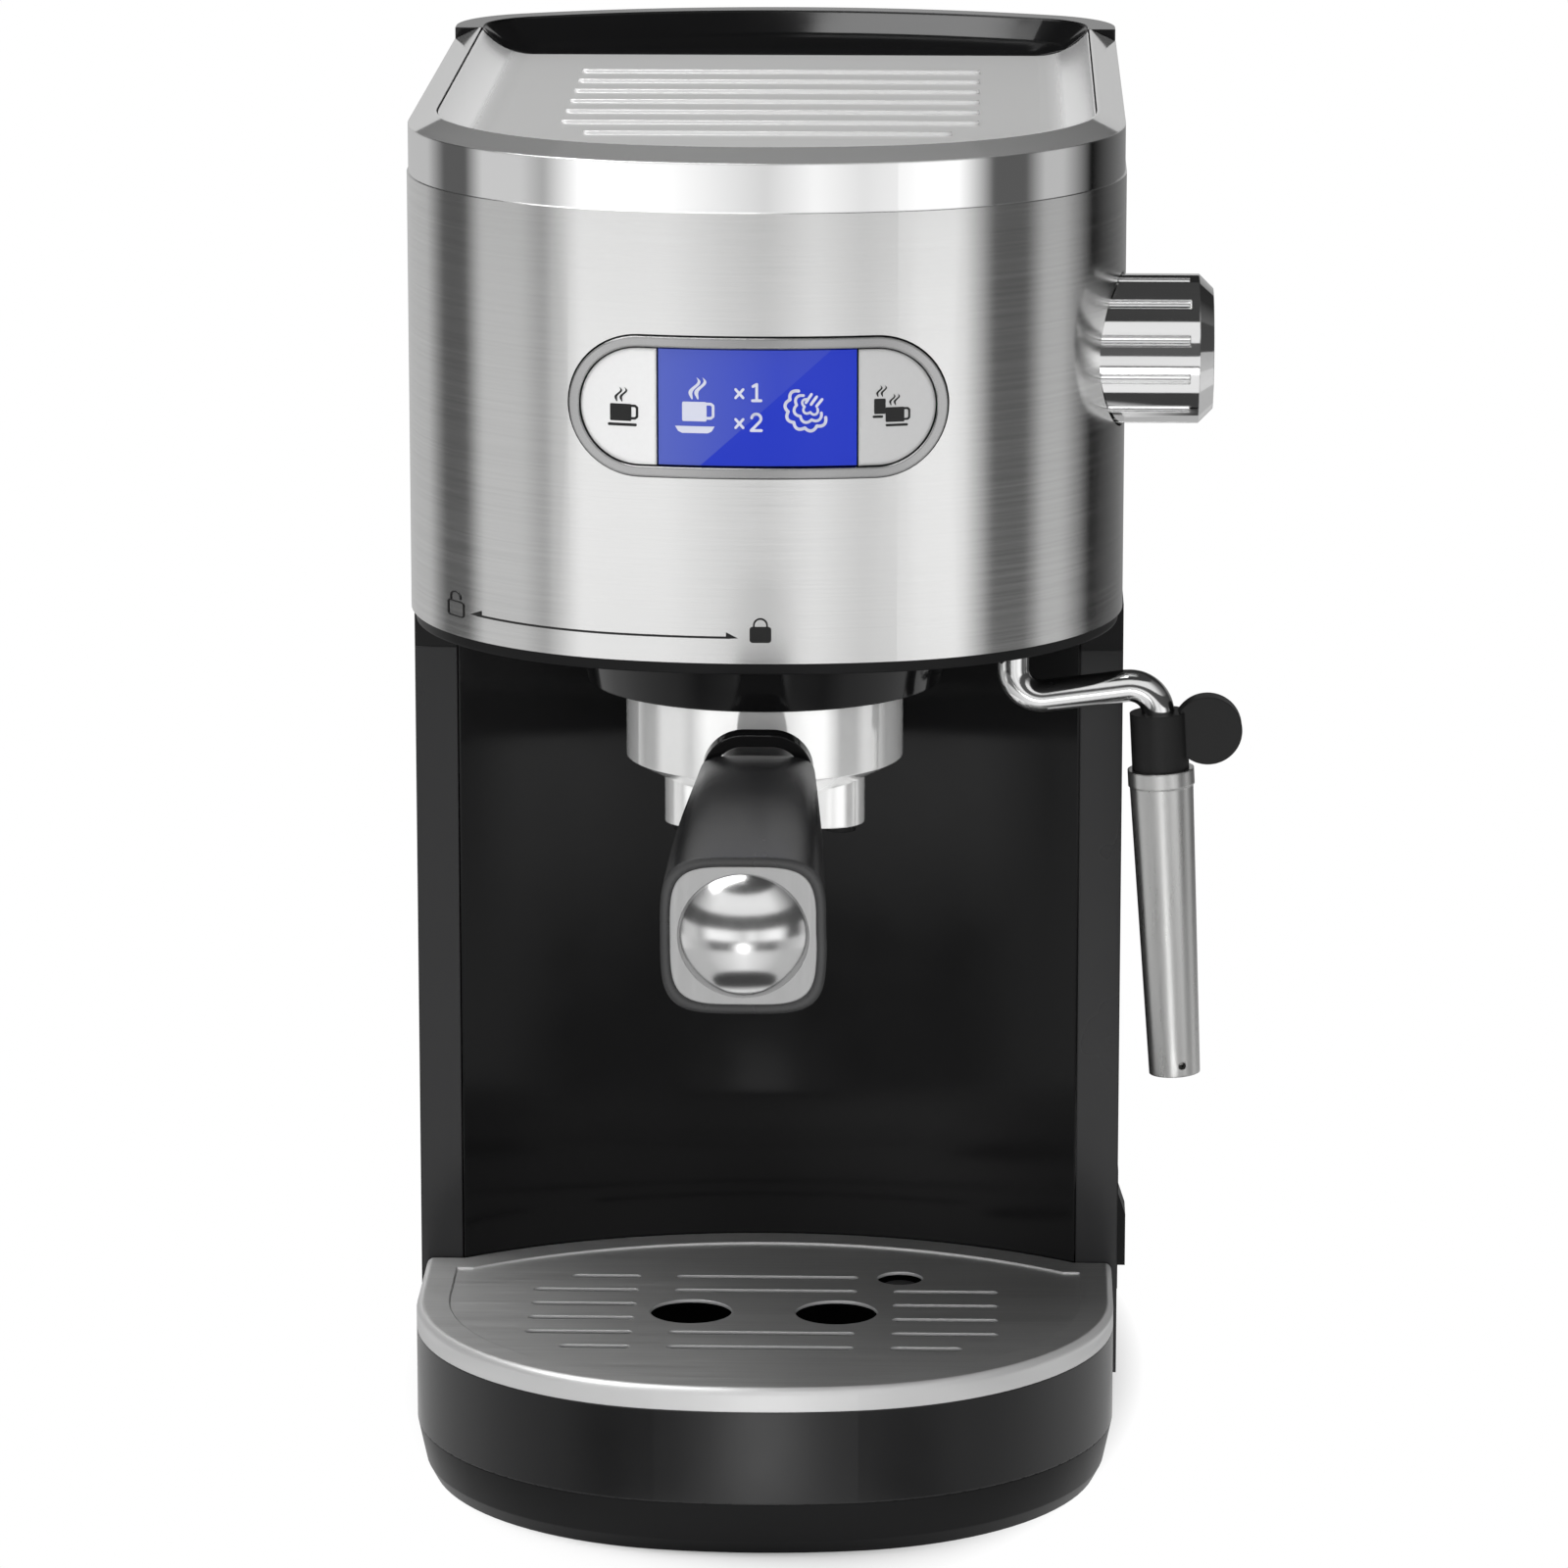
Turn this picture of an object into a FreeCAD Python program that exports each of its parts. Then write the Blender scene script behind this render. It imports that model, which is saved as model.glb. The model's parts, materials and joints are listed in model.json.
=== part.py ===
import FreeCAD, Part
import math
import os

Vector = FreeCAD.Vector

# Frame: millimetres, X to the right, -Y to the front, +Z up, origin on the floor under the body's mid-plane

# Walls and clearances
seat_gap = 0.3
shaft_gap = 0.05
wrap_wall = 0.8
shell_inset = 1.0
shell_wall = 2.2
floor_wall = 2.6

# Plan of the head
half_width = 75.0
head_front = -120.0
head_bow = 115.0
head_corner = 62.0
split_y = 79.0
split_gap = 0.4
tank_front = split_y + split_gap

# Plan of the drip tray and the rear
tray_inset = 0.7
tray_reach = 18.0
tray_bow = 125.0
tray_corner = 64.0
tank_depth = 40.1
rear_swell = 20.0893
rear_corner = 24.0
tray_half_width = half_width - tray_inset
tray_front = head_front - tray_reach
rear_tip = tank_front + tank_depth
rear_bow = half_width ** 2 / (2 * rear_swell)

# Column
column_proud = 0.5
column_wall = 2.5
bay_depth = 75.0
pillar_width = 9.0
panel_depth = 21.0
panel_wall = 2.0
column_half_width = half_width + column_proud
pillar_front = head_front + bay_depth
panel_half_chord = column_half_width - pillar_width - seat_gap
panel_radius = (panel_half_chord ** 2 + panel_depth ** 2) / (2 * panel_depth)
panel_centre_y = pillar_front + panel_depth - panel_radius

# Heights
foot_height = 1.2
base_top = 11.5
tray_height = 19.9
plate_height = 5.0
head_bottom = 182.0
seam_drop = 10.0
wrap_trim = 2.4
band_top = 289.0
bevel_rise = 2.6
band_height = 10.0
tray_top = base_top + tray_height
plate_top = tray_top + plate_height
seam_z = head_bottom - seam_drop
wrap_bottom = head_bottom + wrap_trim
band_edge = band_top - bevel_rise
band_bottom = band_edge - band_height

# Base
base_inset = 3.4
base_step = 3.0
base_step_inset = 1.8
base_wall = 2.5
base_rim = 7.0
bottom_wall = 2.2
foot_radius = 8.0
foot_inset = 24.3
foot_setback = 40.5
boss_radius = 4.0
boss_spacing = 16.0
screw_radius = 1.5
foot_x = tray_half_width - foot_inset
boss_x = foot_x - boss_spacing
foot_rows = (tray_front + foot_setback, rear_tip - foot_setback)

# Drip tray, plate and float
tray_gap = 0.6
tray_wall = 2.2
tray_floor = 2.0
plate_wall = 1.0
plate_sheet = 1.2
plate_recess = 0.5
plate_rim = 7.0
plate_edge = 1.6
slot_width = 2.4
slot_pitch = 10.2
slot_setback = 11.65
slot_inner = 28.5
slot_outer = 48.5
slot_short = 40.9
slot_middle = 18.3
drain_radius = 8.7
drain_x = 15.4
float_hole_radius = 4.9
float_x = 28.6
float_radius = 8.0
float_stem = 3.6
float_height = 5.5
float_drop = 2.0
guide_wall = 1.4
guide_height = 4.5
slot_rear_y = pillar_front - slot_setback

# Top band and cup warmer
band_inset = 0.3
band_chamfer = 5.6
band_width = 6.0
ledge_width = 3.6
ledge_wall = 3.0
dish_depth = 6.0
dish_sheet = 1.0
dish_side = 18.0
dish_rise = 5.6
rib_count = 7
rib_setback = 31.0
rib_pitch = 16.6
rib_width = 3.0
rib_height = 0.8
rib_half_length = 42.6
rib_short_half_length = 37.0
dish_floor = band_top - dish_depth
dish_flat = half_width - dish_side
dish_edge = half_width - band_inset - band_width - seat_gap
rib_rear_y = split_y - rib_setback

# Tank
tank_inset = 0.4
seat_height = 2.5
lid_height = 10.0
tank_wall = 2.4
tank_floor = 3.0
outlet_setback = 20.0
outlet_radius = 7.0
valve_flange = 10.0
valve_flange_wall = 2.0
seat_inset = 6.0
lid_plug = 5.0
tank_half_width = half_width - tank_inset
tank_bottom = base_top + seat_height
lid_top = band_top
tank_top = lid_top - lid_height
outlet_y = rear_tip - outlet_setback

# Control panel
panel_drop = 39.4
bezel_half_width = 38.3
bezel_half_height = 14.3
bezel_wall = 2.1
bezel_proud = 0.9
bezel_depth = 14.0
window_half_width = 20.0
window_half_height = 11.8
window_wall = 2.0
window_proud = 0.2
button_gap = 0.35
button_proud = 0.5
button_travel = 1.1
button_x = 28.0
key_size = 6.0
key_height = 2.4
board_wall = 1.6
panel_z = band_bottom - panel_drop
bezel_back = head_front + bezel_depth
button_back = bezel_back - key_height - button_travel

# Group and portafilter
group_setback = 48.0
group_radius = 33.0
group_bore = 29.6
group_drop = 9.6
group_height = 14.6
group_plate = 4.0
ledge_bore = 26.4
ledge_height = 2.1
ledge_half_angle = 26.0
shroud_radius = 38.5
shroud_taper = 1.5
gasket_height = 3.0
gasket_bore = 24.0
screen_radius = 23.5
screen_wall = 1.4
basin_radius = 29.0
basin_gap = 0.9
basin_height = 16.0
cone_height = 4.5
cone_radius = 20.5
neck_radius = 26.0
cup_radius = 23.2
cup_bottom_wall = 2.0
lug_radius = 29.2
lug_height = 3.4
lug_half_angle = 20.0
basket_wall = 0.7
basket_flange = 25.8
basket_sheet = 1.0
basket_lift = 1.5
spout_half_length = 21.0
spout_half_depth = 8.0
spout_height = 10.2
spout_bore = 2.6
tip_radius = 3.2
tip_bore = 1.8
tip_x = 15.9
tip_height = 2.0
group_y = head_front + group_setback
group_bottom = head_bottom - group_drop
group_top = group_bottom + group_height
group_roof = group_top - group_plate
gasket_bottom = group_roof - gasket_height
basin_top = group_bottom - basin_gap
basin_bottom = basin_top - basin_height
cone_bottom = basin_bottom - cone_height
cup_floor = basin_bottom + cup_bottom_wall
lug_bottom = group_bottom + ledge_height + seat_gap
basket_floor = cup_floor + basket_lift
spout_bottom = cone_bottom - spout_height

# Handle, in its own frame with the axis along -Y
arm_sunk = 1.0
arm_rise = 6.5
handle_slope = 6.5
neck_start = 11.0
handle_start = 21.0
handle_end = 109.0
arm_radius = 4.6
arm_end = 13.5
bolt_radius = 2.5
bolt_end = 40.0
bolt_grip = 5.0
neck_width = 15.0
neck_height = 11.6
neck_corner = 4.0
root_width = 23.6
root_height = 12.4
mid_width = 28.4
mid_height = 26.0
end_size = 32.0
corner_power = 4.2
outline_points = 40
frame_size = 28.2
frame_wall = 1.5
dome_radius = 12.7
dome_height = 7.0
clip_pivot = 17.8
clip_pivot_drop = 4.0
clip_leg_drop = 6.2
clip_width = 22.6
clip_height = 20.0
clip_corner = 8.4
clip_wall = 2.4
clip_depth = 4.0
clip_pin_radius = 1.0
handle_root_y = group_y - basin_radius + arm_sunk
handle_root_z = basin_bottom + arm_rise

# Steam knob and valve
knob_setback = 54.0
knob_drop = 35.8
knob_radius = 15.5
knob_sunk = 15.0
knob_length = 30.0
knob_cap = 3.0
knob_chamfer = 3.0
knob_wall = 2.5
knob_hub = 7.0
knob_hub_inset = 4.0
knob_grooves = 12
groove_radius = 1.1
groove_margin = 2.0
spindle_radius = 4.0
spindle_length = 32.0
spindle_inset = 10.0
knob_hole_gap = 0.7
valve_gap = 0.2
valve_clear = 4.0
valve_ahead = 12.0
valve_behind = 16.0
valve_drop = 18.6
valve_rise = 11.4
hose_radius = 4.5
hose_bore = 3.2
knob_y = head_front + knob_setback
knob_z = band_bottom - knob_drop
knob_root_x = half_width - knob_sunk
knob_edge_x = knob_root_x + knob_length
knob_end_x = knob_edge_x + knob_cap
spindle_end_x = knob_edge_x - spindle_inset
spindle_start_x = spindle_end_x - spindle_length
valve_right_x = knob_root_x - valve_clear

# Steam wand
wand_gap = 13.5
wand_setback = 50.0
pipe_radius = 3.4
pipe_rise = 7.0
pipe_drop = 15.5
pipe_run_rise = 4.0
pipe_reach = 30.1
pipe_bend = 6.0
wand_lean = 3.2
grip_start = 6.4
grip_end = 18.5
grip_radius = 6.0
tab_offset = 10.2
tab_drop = 10.5
tab_radius = 7.2
tab_wall = 5.0
tab_web = 5.0
sleeve_collar = 3.4
sleeve_step = 0.3
sleeve_top_radius = 7.0
sleeve_end = 84.5
sleeve_tip_radius = 5.4
sleeve_bore = 4.0
sleeve_tip_wall = 4.0
sleeve_mouth = 2.0
sleeve_vent = 0.8
sleeve_vent_x = 1.6
sleeve_vent_rise = 2.4
pipe_tail = 33.0
socket_radius = 7.0
socket_stem = 5.5
socket_drop = 4.0
socket_rise = 8.0
wand_x = shroud_radius + wand_gap
wand_y = head_front + wand_setback
pipe_run_x = wand_x + pipe_reach
pipe_top = head_bottom + pipe_rise
pipe_run_z = head_bottom - pipe_drop
pipe_end_z = pipe_run_z + pipe_run_rise
socket_top = head_bottom + socket_rise

# Boiler
boiler_radius = 32.0
boiler_bore = 27.0
boiler_floor_wall = 5.0
boiler_cup_height = 26.0
boiler_lid_room = 11.0
boiler_roof_wall = 6.0
element_radius = 19.0
element_tube = 3.5
element_rise = 8.0
thermostat_radius = 8.0
thermostat_height = 6.0
thermostat_x = 12.0
boiler_floor = group_top + boiler_floor_wall
boiler_split = group_top + boiler_cup_height
boiler_roof = boiler_split + boiler_lid_room
boiler_top = boiler_roof + boiler_roof_wall
element_z = boiler_floor + element_rise
valve_left_x = boiler_radius + valve_gap
valve_bottom = knob_z - valve_drop
valve_top = knob_z + valve_rise

# Pump and water hoses
pump_y = 30.0
pump_rise = 30.5
pump_radius = 17.0
pump_left_x = -40.0
pump_right_x = 14.0
nozzle_radius = 4.0
nozzle_length = 16.0
saddle_width = 8.0
saddle_left_x = -32.0
saddle_right_x = 0.0
saddle_half_depth = 19.0
water_radius = 2.4
water_bore = 1.4
suction_reach = 6.0
riser_reach = 20.0
riser_lift = 2.0
hose_bend = 4.5
hose_hole = 4.0
riser_bend = 10.0
riser_hole = 6.0
pump_z = base_top + pump_rise
suction_z = foot_height + bottom_wall + seat_gap + water_radius
suction_x = pump_left_x - nozzle_length - suction_reach
riser_x = pump_right_x + nozzle_length + riser_reach
riser_top = boiler_roof + riser_lift

# Main board with its relay, transformer and capacitor
main_board_setback = 17.0
main_board_half = 45.0
main_board_drop = 26.4
relay_x = -29.0
relay_width = 18.0
relay_depth = 15.0
relay_rise = 12.0
relay_height = 20.0
transformer_x = 20.0
transformer_width = 28.0
transformer_depth = 18.0
transformer_rise = 10.0
transformer_height = 28.0
capacitor_x = -8.0
capacitor_radius = 6.0
capacitor_length = 16.0
capacitor_rise = 22.0
main_board_y = split_y - main_board_setback
main_board_top = band_bottom - main_board_drop

# Switch and cord gland
switch_y = -10.0
switch_rise = 24.5
switch_half_depth = 7.0
switch_half_height = 12.0
switch_flange = 1.5
switch_flange_wall = 0.6
switch_depth = 13.5
switch_back_wall = 4.0
switch_wall = 1.3
rocker_gap = 0.3
rocker_pivot_depth = 4.5
rocker_pin = 1.5
rocker_root = 2.5
rocker_root_half = 4.0
rocker_crest = 2.3
rocker_crest_rise = 2.5
rocker_low_drop = 9.0
rocker_high_rise = 10.3
rocker_high_depth = 0.3
gland_y = 50.0
gland_rise = 16.5
gland_radius = 7.0
gland_stem = 5.0
gland_bore = 3.5
gland_proud = 2.5
gland_depth = 6.0
switch_z = base_top + switch_rise
rocker_pivot_x = column_half_width - rocker_pivot_depth
gland_z = base_top + gland_rise


def line(first, second):
    return Part.makeLine(Vector(*first), Vector(*second))


def arc(first, middle, last):
    return Part.Arc(Vector(*first), Vector(*middle), Vector(*last)).toShape()


def closed(edges):
    return Part.Wire(Part.__sortEdges__(edges))


def raise_wire(wire, height):
    return Part.Face(wire).extrude(Vector(0, 0, height))


def box(x0, x1, y0, y1, z0, z1):
    return Part.makeBox(x1 - x0, y1 - y0, z1 - z0, Vector(x0, y0, z0))


def upright(radius, x, y, z0, z1):
    return Part.makeCylinder(radius, z1 - z0, Vector(x, y, z0))


def along_x(radius, x0, x1, y, z):
    return Part.makeCylinder(radius, x1 - x0, Vector(x0, y, z), Vector(1, 0, 0))


def along_y(radius, y0, y1, x, z):
    return Part.makeCylinder(radius, y1 - y0, Vector(x, y0, z), Vector(0, 1, 0))


def join(shapes):
    return shapes[0].multiFuse(shapes[1:]).removeSplitter()


def save(name, shape):
    shape.exportStep("parts/" + name + ".step")


# A bowed end of a plan: two corner arcs and one wide arc, with side -1 at the front and +1 at the rear
def bowed_end(half, tip, bow, corner, side, z):
    reach = side * tip
    bow_centre = reach - bow
    corner_x = half - corner
    corner_v = bow_centre + math.sqrt((bow - corner) ** 2 - corner_x ** 2)
    ratio = bow / (bow - corner)
    touch_x = corner_x * ratio
    touch_v = bow_centre + (corner_v - bow_centre) * ratio
    turn = math.atan2(touch_v - corner_v, touch_x - corner_x) / 2
    mid_x = corner_x + corner * math.cos(turn)
    mid_v = corner_v + corner * math.sin(turn)
    edges = [arc((-touch_x, side * touch_v, z), (0, tip, z), (touch_x, side * touch_v, z))]
    for hand in (-1, 1):
        start = (hand * half, side * corner_v, z)
        middle = (hand * mid_x, side * mid_v, z)
        finish = (hand * touch_x, side * touch_v, z)
        edges.append(arc(start, middle, finish))
    return edges, side * corner_v


def head_plan(inset, rear, z):
    half = half_width - inset
    edges, side_y = bowed_end(half, head_front + inset, head_bow - inset, head_corner - inset, -1, z)
    edges.append(line((half, side_y, z), (half, rear, z)))
    edges.append(line((-half, side_y, z), (-half, rear, z)))
    edges.append(line((-half, rear, z), (half, rear, z)))
    return closed(edges)


def tank_plan(inset, front, z):
    half = tank_half_width - inset
    edges, side_y = bowed_end(half, rear_tip - inset, rear_bow - inset, rear_corner - inset, 1, z)
    edges.append(line((half, side_y, z), (half, front, z)))
    edges.append(line((-half, side_y, z), (-half, front, z)))
    edges.append(line((-half, front, z), (half, front, z)))
    return closed(edges)


def base_plan(inset, z):
    half = tray_half_width - inset
    edges, front_y = bowed_end(half, tray_front + inset, tray_bow - inset, tray_corner - inset, -1, z)
    rear, rear_y = bowed_end(half, rear_tip - inset, rear_bow - inset, rear_corner - inset, 1, z)
    edges.extend(rear)
    for hand in (-1, 1):
        edges.append(line((hand * half, front_y, z), (hand * half, rear_y, z)))
    return closed(edges)


def tray_plan(inset, z):
    half = tray_half_width - inset
    edges, side_y = bowed_end(half, tray_front + inset, tray_bow - inset, tray_corner - inset, -1, z)
    back_y = pillar_front - tray_gap - inset
    back_radius = panel_radius - tray_gap - inset
    chord = math.sqrt(back_radius ** 2 - (back_y - panel_centre_y) ** 2)
    for hand in (-1, 1):
        edges.append(line((hand * half, side_y, z), (hand * half, back_y, z)))
        edges.append(line((hand * half, back_y, z), (hand * chord, back_y, z)))
    edges.append(arc((-chord, back_y, z), (0, panel_centre_y + back_radius, z), (chord, back_y, z)))
    return closed(edges)


# A rounded rectangle in the XZ plane, with its ends fully round where the radius is half the height
def rounded(width, height, radius, y):
    a = width / 2
    b = height / 2
    k = radius * (1 - math.sqrt(0.5))
    edges = []
    for sx in (-1, 1):
        for sz in (-1, 1):
            first = (sx * (a - radius), y, sz * b)
            middle = (sx * (a - k), y, sz * (b - k))
            last = (sx * a, y, sz * (b - radius))
            edges.append(arc(first, middle, last))
    for s in (-1, 1):
        edges.append(line((-(a - radius), y, s * b), (a - radius, y, s * b)))
        if b > radius:
            edges.append(line((s * a, y, -(b - radius)), (s * a, y, b - radius)))
    return closed(edges)


def stadium(half_length, half_height, y0, y1):
    wire = rounded(2 * half_length, 2 * half_height, half_height, y0)
    solid = Part.Face(wire).extrude(Vector(0, y1 - y0, 0))
    solid.translate(Vector(0, 0, panel_z))
    return solid


# A tube that follows straight legs joined by bends of one radius
def route(points, bend):
    corners = [Vector(*p) for p in points]
    edges = []
    start = corners[0]
    for before, corner, after in zip(corners, corners[1:], corners[2:]):
        come = (corner - before).normalize()
        go = (after - corner).normalize()
        half_turn = come.getAngle(go) / 2
        back = bend * math.tan(half_turn)
        first = corner - come * back
        last = corner + go * back
        inward = (go - come).normalize()
        middle = corner + inward * (bend / math.cos(half_turn) - bend)
        edges.append(Part.makeLine(start, first))
        edges.append(Part.Arc(first, middle, last).toShape())
        start = last
    edges.append(Part.makeLine(start, corners[-1]))
    return Part.Wire(edges)


def tube(points, bend, radius):
    path = route(points, bend)
    start = Vector(*points[0])
    heading = (Vector(*points[1]) - start).normalize()
    section = Part.Wire(Part.makeCircle(radius, start, heading))
    return path.makePipeShell([section], True, False)


def ring_sector(inner, outer, z0, z1, half_angle, x, y):
    pieces = []
    for start in (-half_angle, 180 - half_angle):
        wedge = Part.makeCylinder(outer, z1 - z0, Vector(0, 0, z0), Vector(0, 0, 1), 2 * half_angle)
        wedge.rotate(Vector(0, 0, 0), Vector(0, 0, 1), start)
        pieces.append(wedge.cut(upright(inner, 0, 0, z0 - 1, z1 + 1)))
    for piece in pieces:
        piece.translate(Vector(x, y, 0))
    return pieces


# Base, bottom plate, feet and screws
def make_base():
    shell = Part.makeLoft([base_plan(base_inset, 0), base_plan(base_step_inset, base_step),
                           base_plan(0, base_top)], True, True)
    hollow_top = base_top - base_wall
    shell = shell.cut(raise_wire(base_plan(base_rim, -1), hollow_top + 1))
    plate_inner = foot_height + bottom_wall
    plate = raise_wire(base_plan(base_rim + seat_gap, foot_height), bottom_wall)
    spots = [(sx * boss_x, y) for sx in (-1, 1) for y in foot_rows]
    bosses = [upright(boss_radius, x, y, plate_inner, hollow_top + 0.5) for x, y in spots]
    shell = join([shell] + bosses)
    holes = [upright(screw_radius + shaft_gap, x, y, foot_height - 1, hollow_top) for x, y in spots]
    screws = [upright(screw_radius, x, y, foot_height, hollow_top - 0.5) for x, y in spots]
    shell = shell.cut(Part.Compound(holes))
    shell = shell.cut(upright(hose_hole, suction_x, pump_y, hollow_top - 1, base_top + 1))
    shell = shell.cut(upright(hose_hole, 0, outlet_y, hollow_top - 1, base_top + 1))
    plate = plate.cut(Part.Compound(holes))
    feet = [upright(foot_radius, sx * foot_x, y, 0, foot_height) for sx in (-1, 1) for y in foot_rows]
    save("base_shell", shell)
    save("bottom_plate", plate)
    save("base_screws", Part.Compound(screws))
    save("feet", Part.Compound(feet))


# Drip tray with its float guide, slotted plate and float
def make_tray():
    tray = raise_wire(tray_plan(0, base_top), tray_top - base_top)
    inside = base_top + tray_floor
    tray = tray.cut(raise_wire(tray_plan(tray_wall, inside), tray_top - inside + 1))
    guide_bore = float_radius + seat_gap
    guide = upright(guide_bore + guide_wall, float_x, slot_rear_y, inside - 0.5, inside + guide_height)
    guide = guide.cut(upright(guide_bore, float_x, slot_rear_y, inside - 1, inside + guide_height + 1))
    tray = tray.fuse(guide).removeSplitter()
    save("drip_tray", tray)

    plate = raise_wire(tray_plan(0, tray_top), plate_top - tray_top)
    top_edges = [e for e in plate.Edges if e.BoundBox.ZMin > plate_top - plate_edge]
    plate = plate.makeFillet(plate_edge, [e for e in top_edges if e.CenterOfMass.y < pillar_front - plate_rim])
    sheet_bottom = plate_top - plate_sheet
    plate = plate.cut(raise_wire(tray_plan(plate_wall, tray_top - 1), sheet_bottom - tray_top + 1))
    plate = plate.cut(raise_wire(tray_plan(plate_rim, plate_top - plate_recess), 1))
    cuts = []
    z0 = sheet_bottom - 1
    z1 = plate_top + 1

    def slot(x0, x1, row):
        y = slot_rear_y - row * slot_pitch
        cuts.append(box(x0, x1, y - slot_width / 2, y + slot_width / 2, z0, z1))
        cuts.append(upright(slot_width / 2, x0, y, z0, z1))
        cuts.append(upright(slot_width / 2, x1, y, z0, z1))

    for row in range(6):
        left_end = slot_short if row in (0, 5) else slot_outer
        slot(-left_end, -slot_inner, row)
        if row > 0:
            slot(slot_inner, slot_short if row == 5 else slot_outer, row)
        if row in (0, 1, 4, 5):
            slot(-slot_middle, slot_middle, row)
    drain_y = slot_rear_y - 2.5 * slot_pitch
    for sx in (-1, 1):
        cuts.append(upright(drain_radius, sx * drain_x, drain_y, z0, z1))
    cuts.append(upright(float_hole_radius, float_x, slot_rear_y, z0, z1))
    save("drip_plate", plate.cut(Part.Compound(cuts)))

    body = upright(float_radius, float_x, slot_rear_y, inside, inside + float_height)
    stem = upright(float_stem, float_x, slot_rear_y, inside + float_height - 1, plate_top - float_drop)
    save("tray_float", body.fuse(stem).removeSplitter())


# Column shell with its two pillars, and the concave panel between them
def column_ring(z0, z1):
    outer = box(-column_half_width, column_half_width, pillar_front, split_y, z0, z1)
    inner_half = column_half_width - column_wall
    inner = box(-inner_half, inner_half, pillar_front + column_wall, split_y - column_wall, z0 - 1, z1 + 1)
    open_half = column_half_width - pillar_width
    mouth = box(-open_half, open_half, pillar_front - 1, pillar_front + column_wall + 1, z0 - 1, z1 + 1)
    return outer.cut(inner).cut(mouth)


def make_column():
    shell = column_ring(base_top, seam_z)
    depth = switch_half_depth + rocker_gap
    height = switch_half_height + rocker_gap
    wall_x = column_half_width - column_wall
    hole = box(wall_x - 1, column_half_width + 1, switch_y - depth, switch_y + depth,
               switch_z - height, switch_z + height)
    gland_hole = along_x(gland_stem + shaft_gap, -column_half_width - 1, 1 - wall_x, gland_y, gland_z)
    save("column_shell", shell.cut(hole).cut(gland_hole))

    sheet = upright(panel_radius + panel_wall, 0, panel_centre_y, base_top, head_bottom)
    sheet = sheet.cut(upright(panel_radius, 0, panel_centre_y, base_top - 1, head_bottom + 1))
    window = box(-panel_half_chord, panel_half_chord, pillar_front, pillar_front + panel_depth + panel_wall,
                 base_top, head_bottom)
    sheet = sheet.common(window)
    flange_y = pillar_front + column_wall + seat_gap
    inner = column_half_width - column_wall - seat_gap
    root = panel_half_chord - 3
    flanges = [box(root, inner, flange_y, flange_y + panel_wall, base_top, head_bottom),
               box(-inner, -root, flange_y, flange_y + panel_wall, base_top, head_bottom)]
    save("column_front_panel", join([sheet] + flanges))


# Head: lower shell, brushed wrap, top band and cup warmer
def knob_hole():
    return along_x(knob_radius + knob_hole_gap, valve_right_x, knob_end_x, knob_y, knob_z)


def panel_hole():
    return stadium(bezel_half_width + seat_gap, bezel_half_height + seat_gap, head_front - 5, bezel_back)


def make_head():
    shell = raise_wire(head_plan(shell_inset, split_y, head_bottom), band_bottom - head_bottom)
    inside = head_bottom + floor_wall
    room = raise_wire(head_plan(shell_inset + shell_wall, split_y - column_wall, inside), band_bottom)
    shell = shell.cut(room).fuse(column_ring(seam_z, head_bottom)).removeSplitter()
    shell = shell.cut(upright(group_radius + seat_gap, 0, group_y, head_bottom - 1, inside + 1))
    shell = shell.cut(upright(socket_stem + seat_gap, wand_x, wand_y, head_bottom - 1, inside + 1))
    shell = shell.cut(upright(riser_hole, riser_x, pump_y, head_bottom - 1, inside + 1))
    save("head_shell", shell.cut(panel_hole()).cut(knob_hole()))

    wrap = raise_wire(head_plan(0, split_y, wrap_bottom), band_bottom - wrap_bottom)
    wrap = wrap.cut(raise_wire(head_plan(wrap_wall, split_y + 1, wrap_bottom - 1), band_bottom))
    save("head_wrap", wrap.cut(panel_hole()).cut(knob_hole()))

    band = raise_wire(head_plan(band_inset, split_y, band_bottom), band_edge - band_bottom)
    slope = Part.makeLoft([head_plan(band_inset, split_y, band_edge),
                           head_plan(band_inset + band_chamfer, split_y, band_top)], True, True)
    band = band.fuse(slope).removeSplitter()
    mouth = band_inset + band_width
    ledge_top = dish_floor - dish_sheet
    band = band.cut(raise_wire(head_plan(mouth, split_y + 1, ledge_top), band_top))
    band = band.cut(raise_wire(head_plan(mouth + ledge_width, split_y + 1, band_bottom - 1), band_top))
    band = band.cut(raise_wire(head_plan(mouth, split_y + 1, band_bottom - 1),
                               ledge_top - ledge_wall - band_bottom + 1))
    save("top_band", band)
    make_cup_warmer()


# Half circle rise from the flat floor to the rim, tangent to the floor
def rise_points(flat, edge, floor, rise):
    run = edge - flat
    radius = (run ** 2 + rise ** 2) / (2 * rise)
    turn = math.asin(run / radius) / 2
    return flat + radius * math.sin(turn), floor + radius * (1 - math.cos(turn))


def dish_edges(flat, edge, floor, rise, y):
    mid_x, mid_z = rise_points(flat, edge, floor, rise)
    top = floor + rise
    return [arc((-edge, y, top), (-mid_x, y, mid_z), (-flat, y, floor)),
            line((-flat, y, floor), (flat, y, floor)),
            arc((flat, y, floor), (mid_x, y, mid_z), (edge, y, top))]


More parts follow.
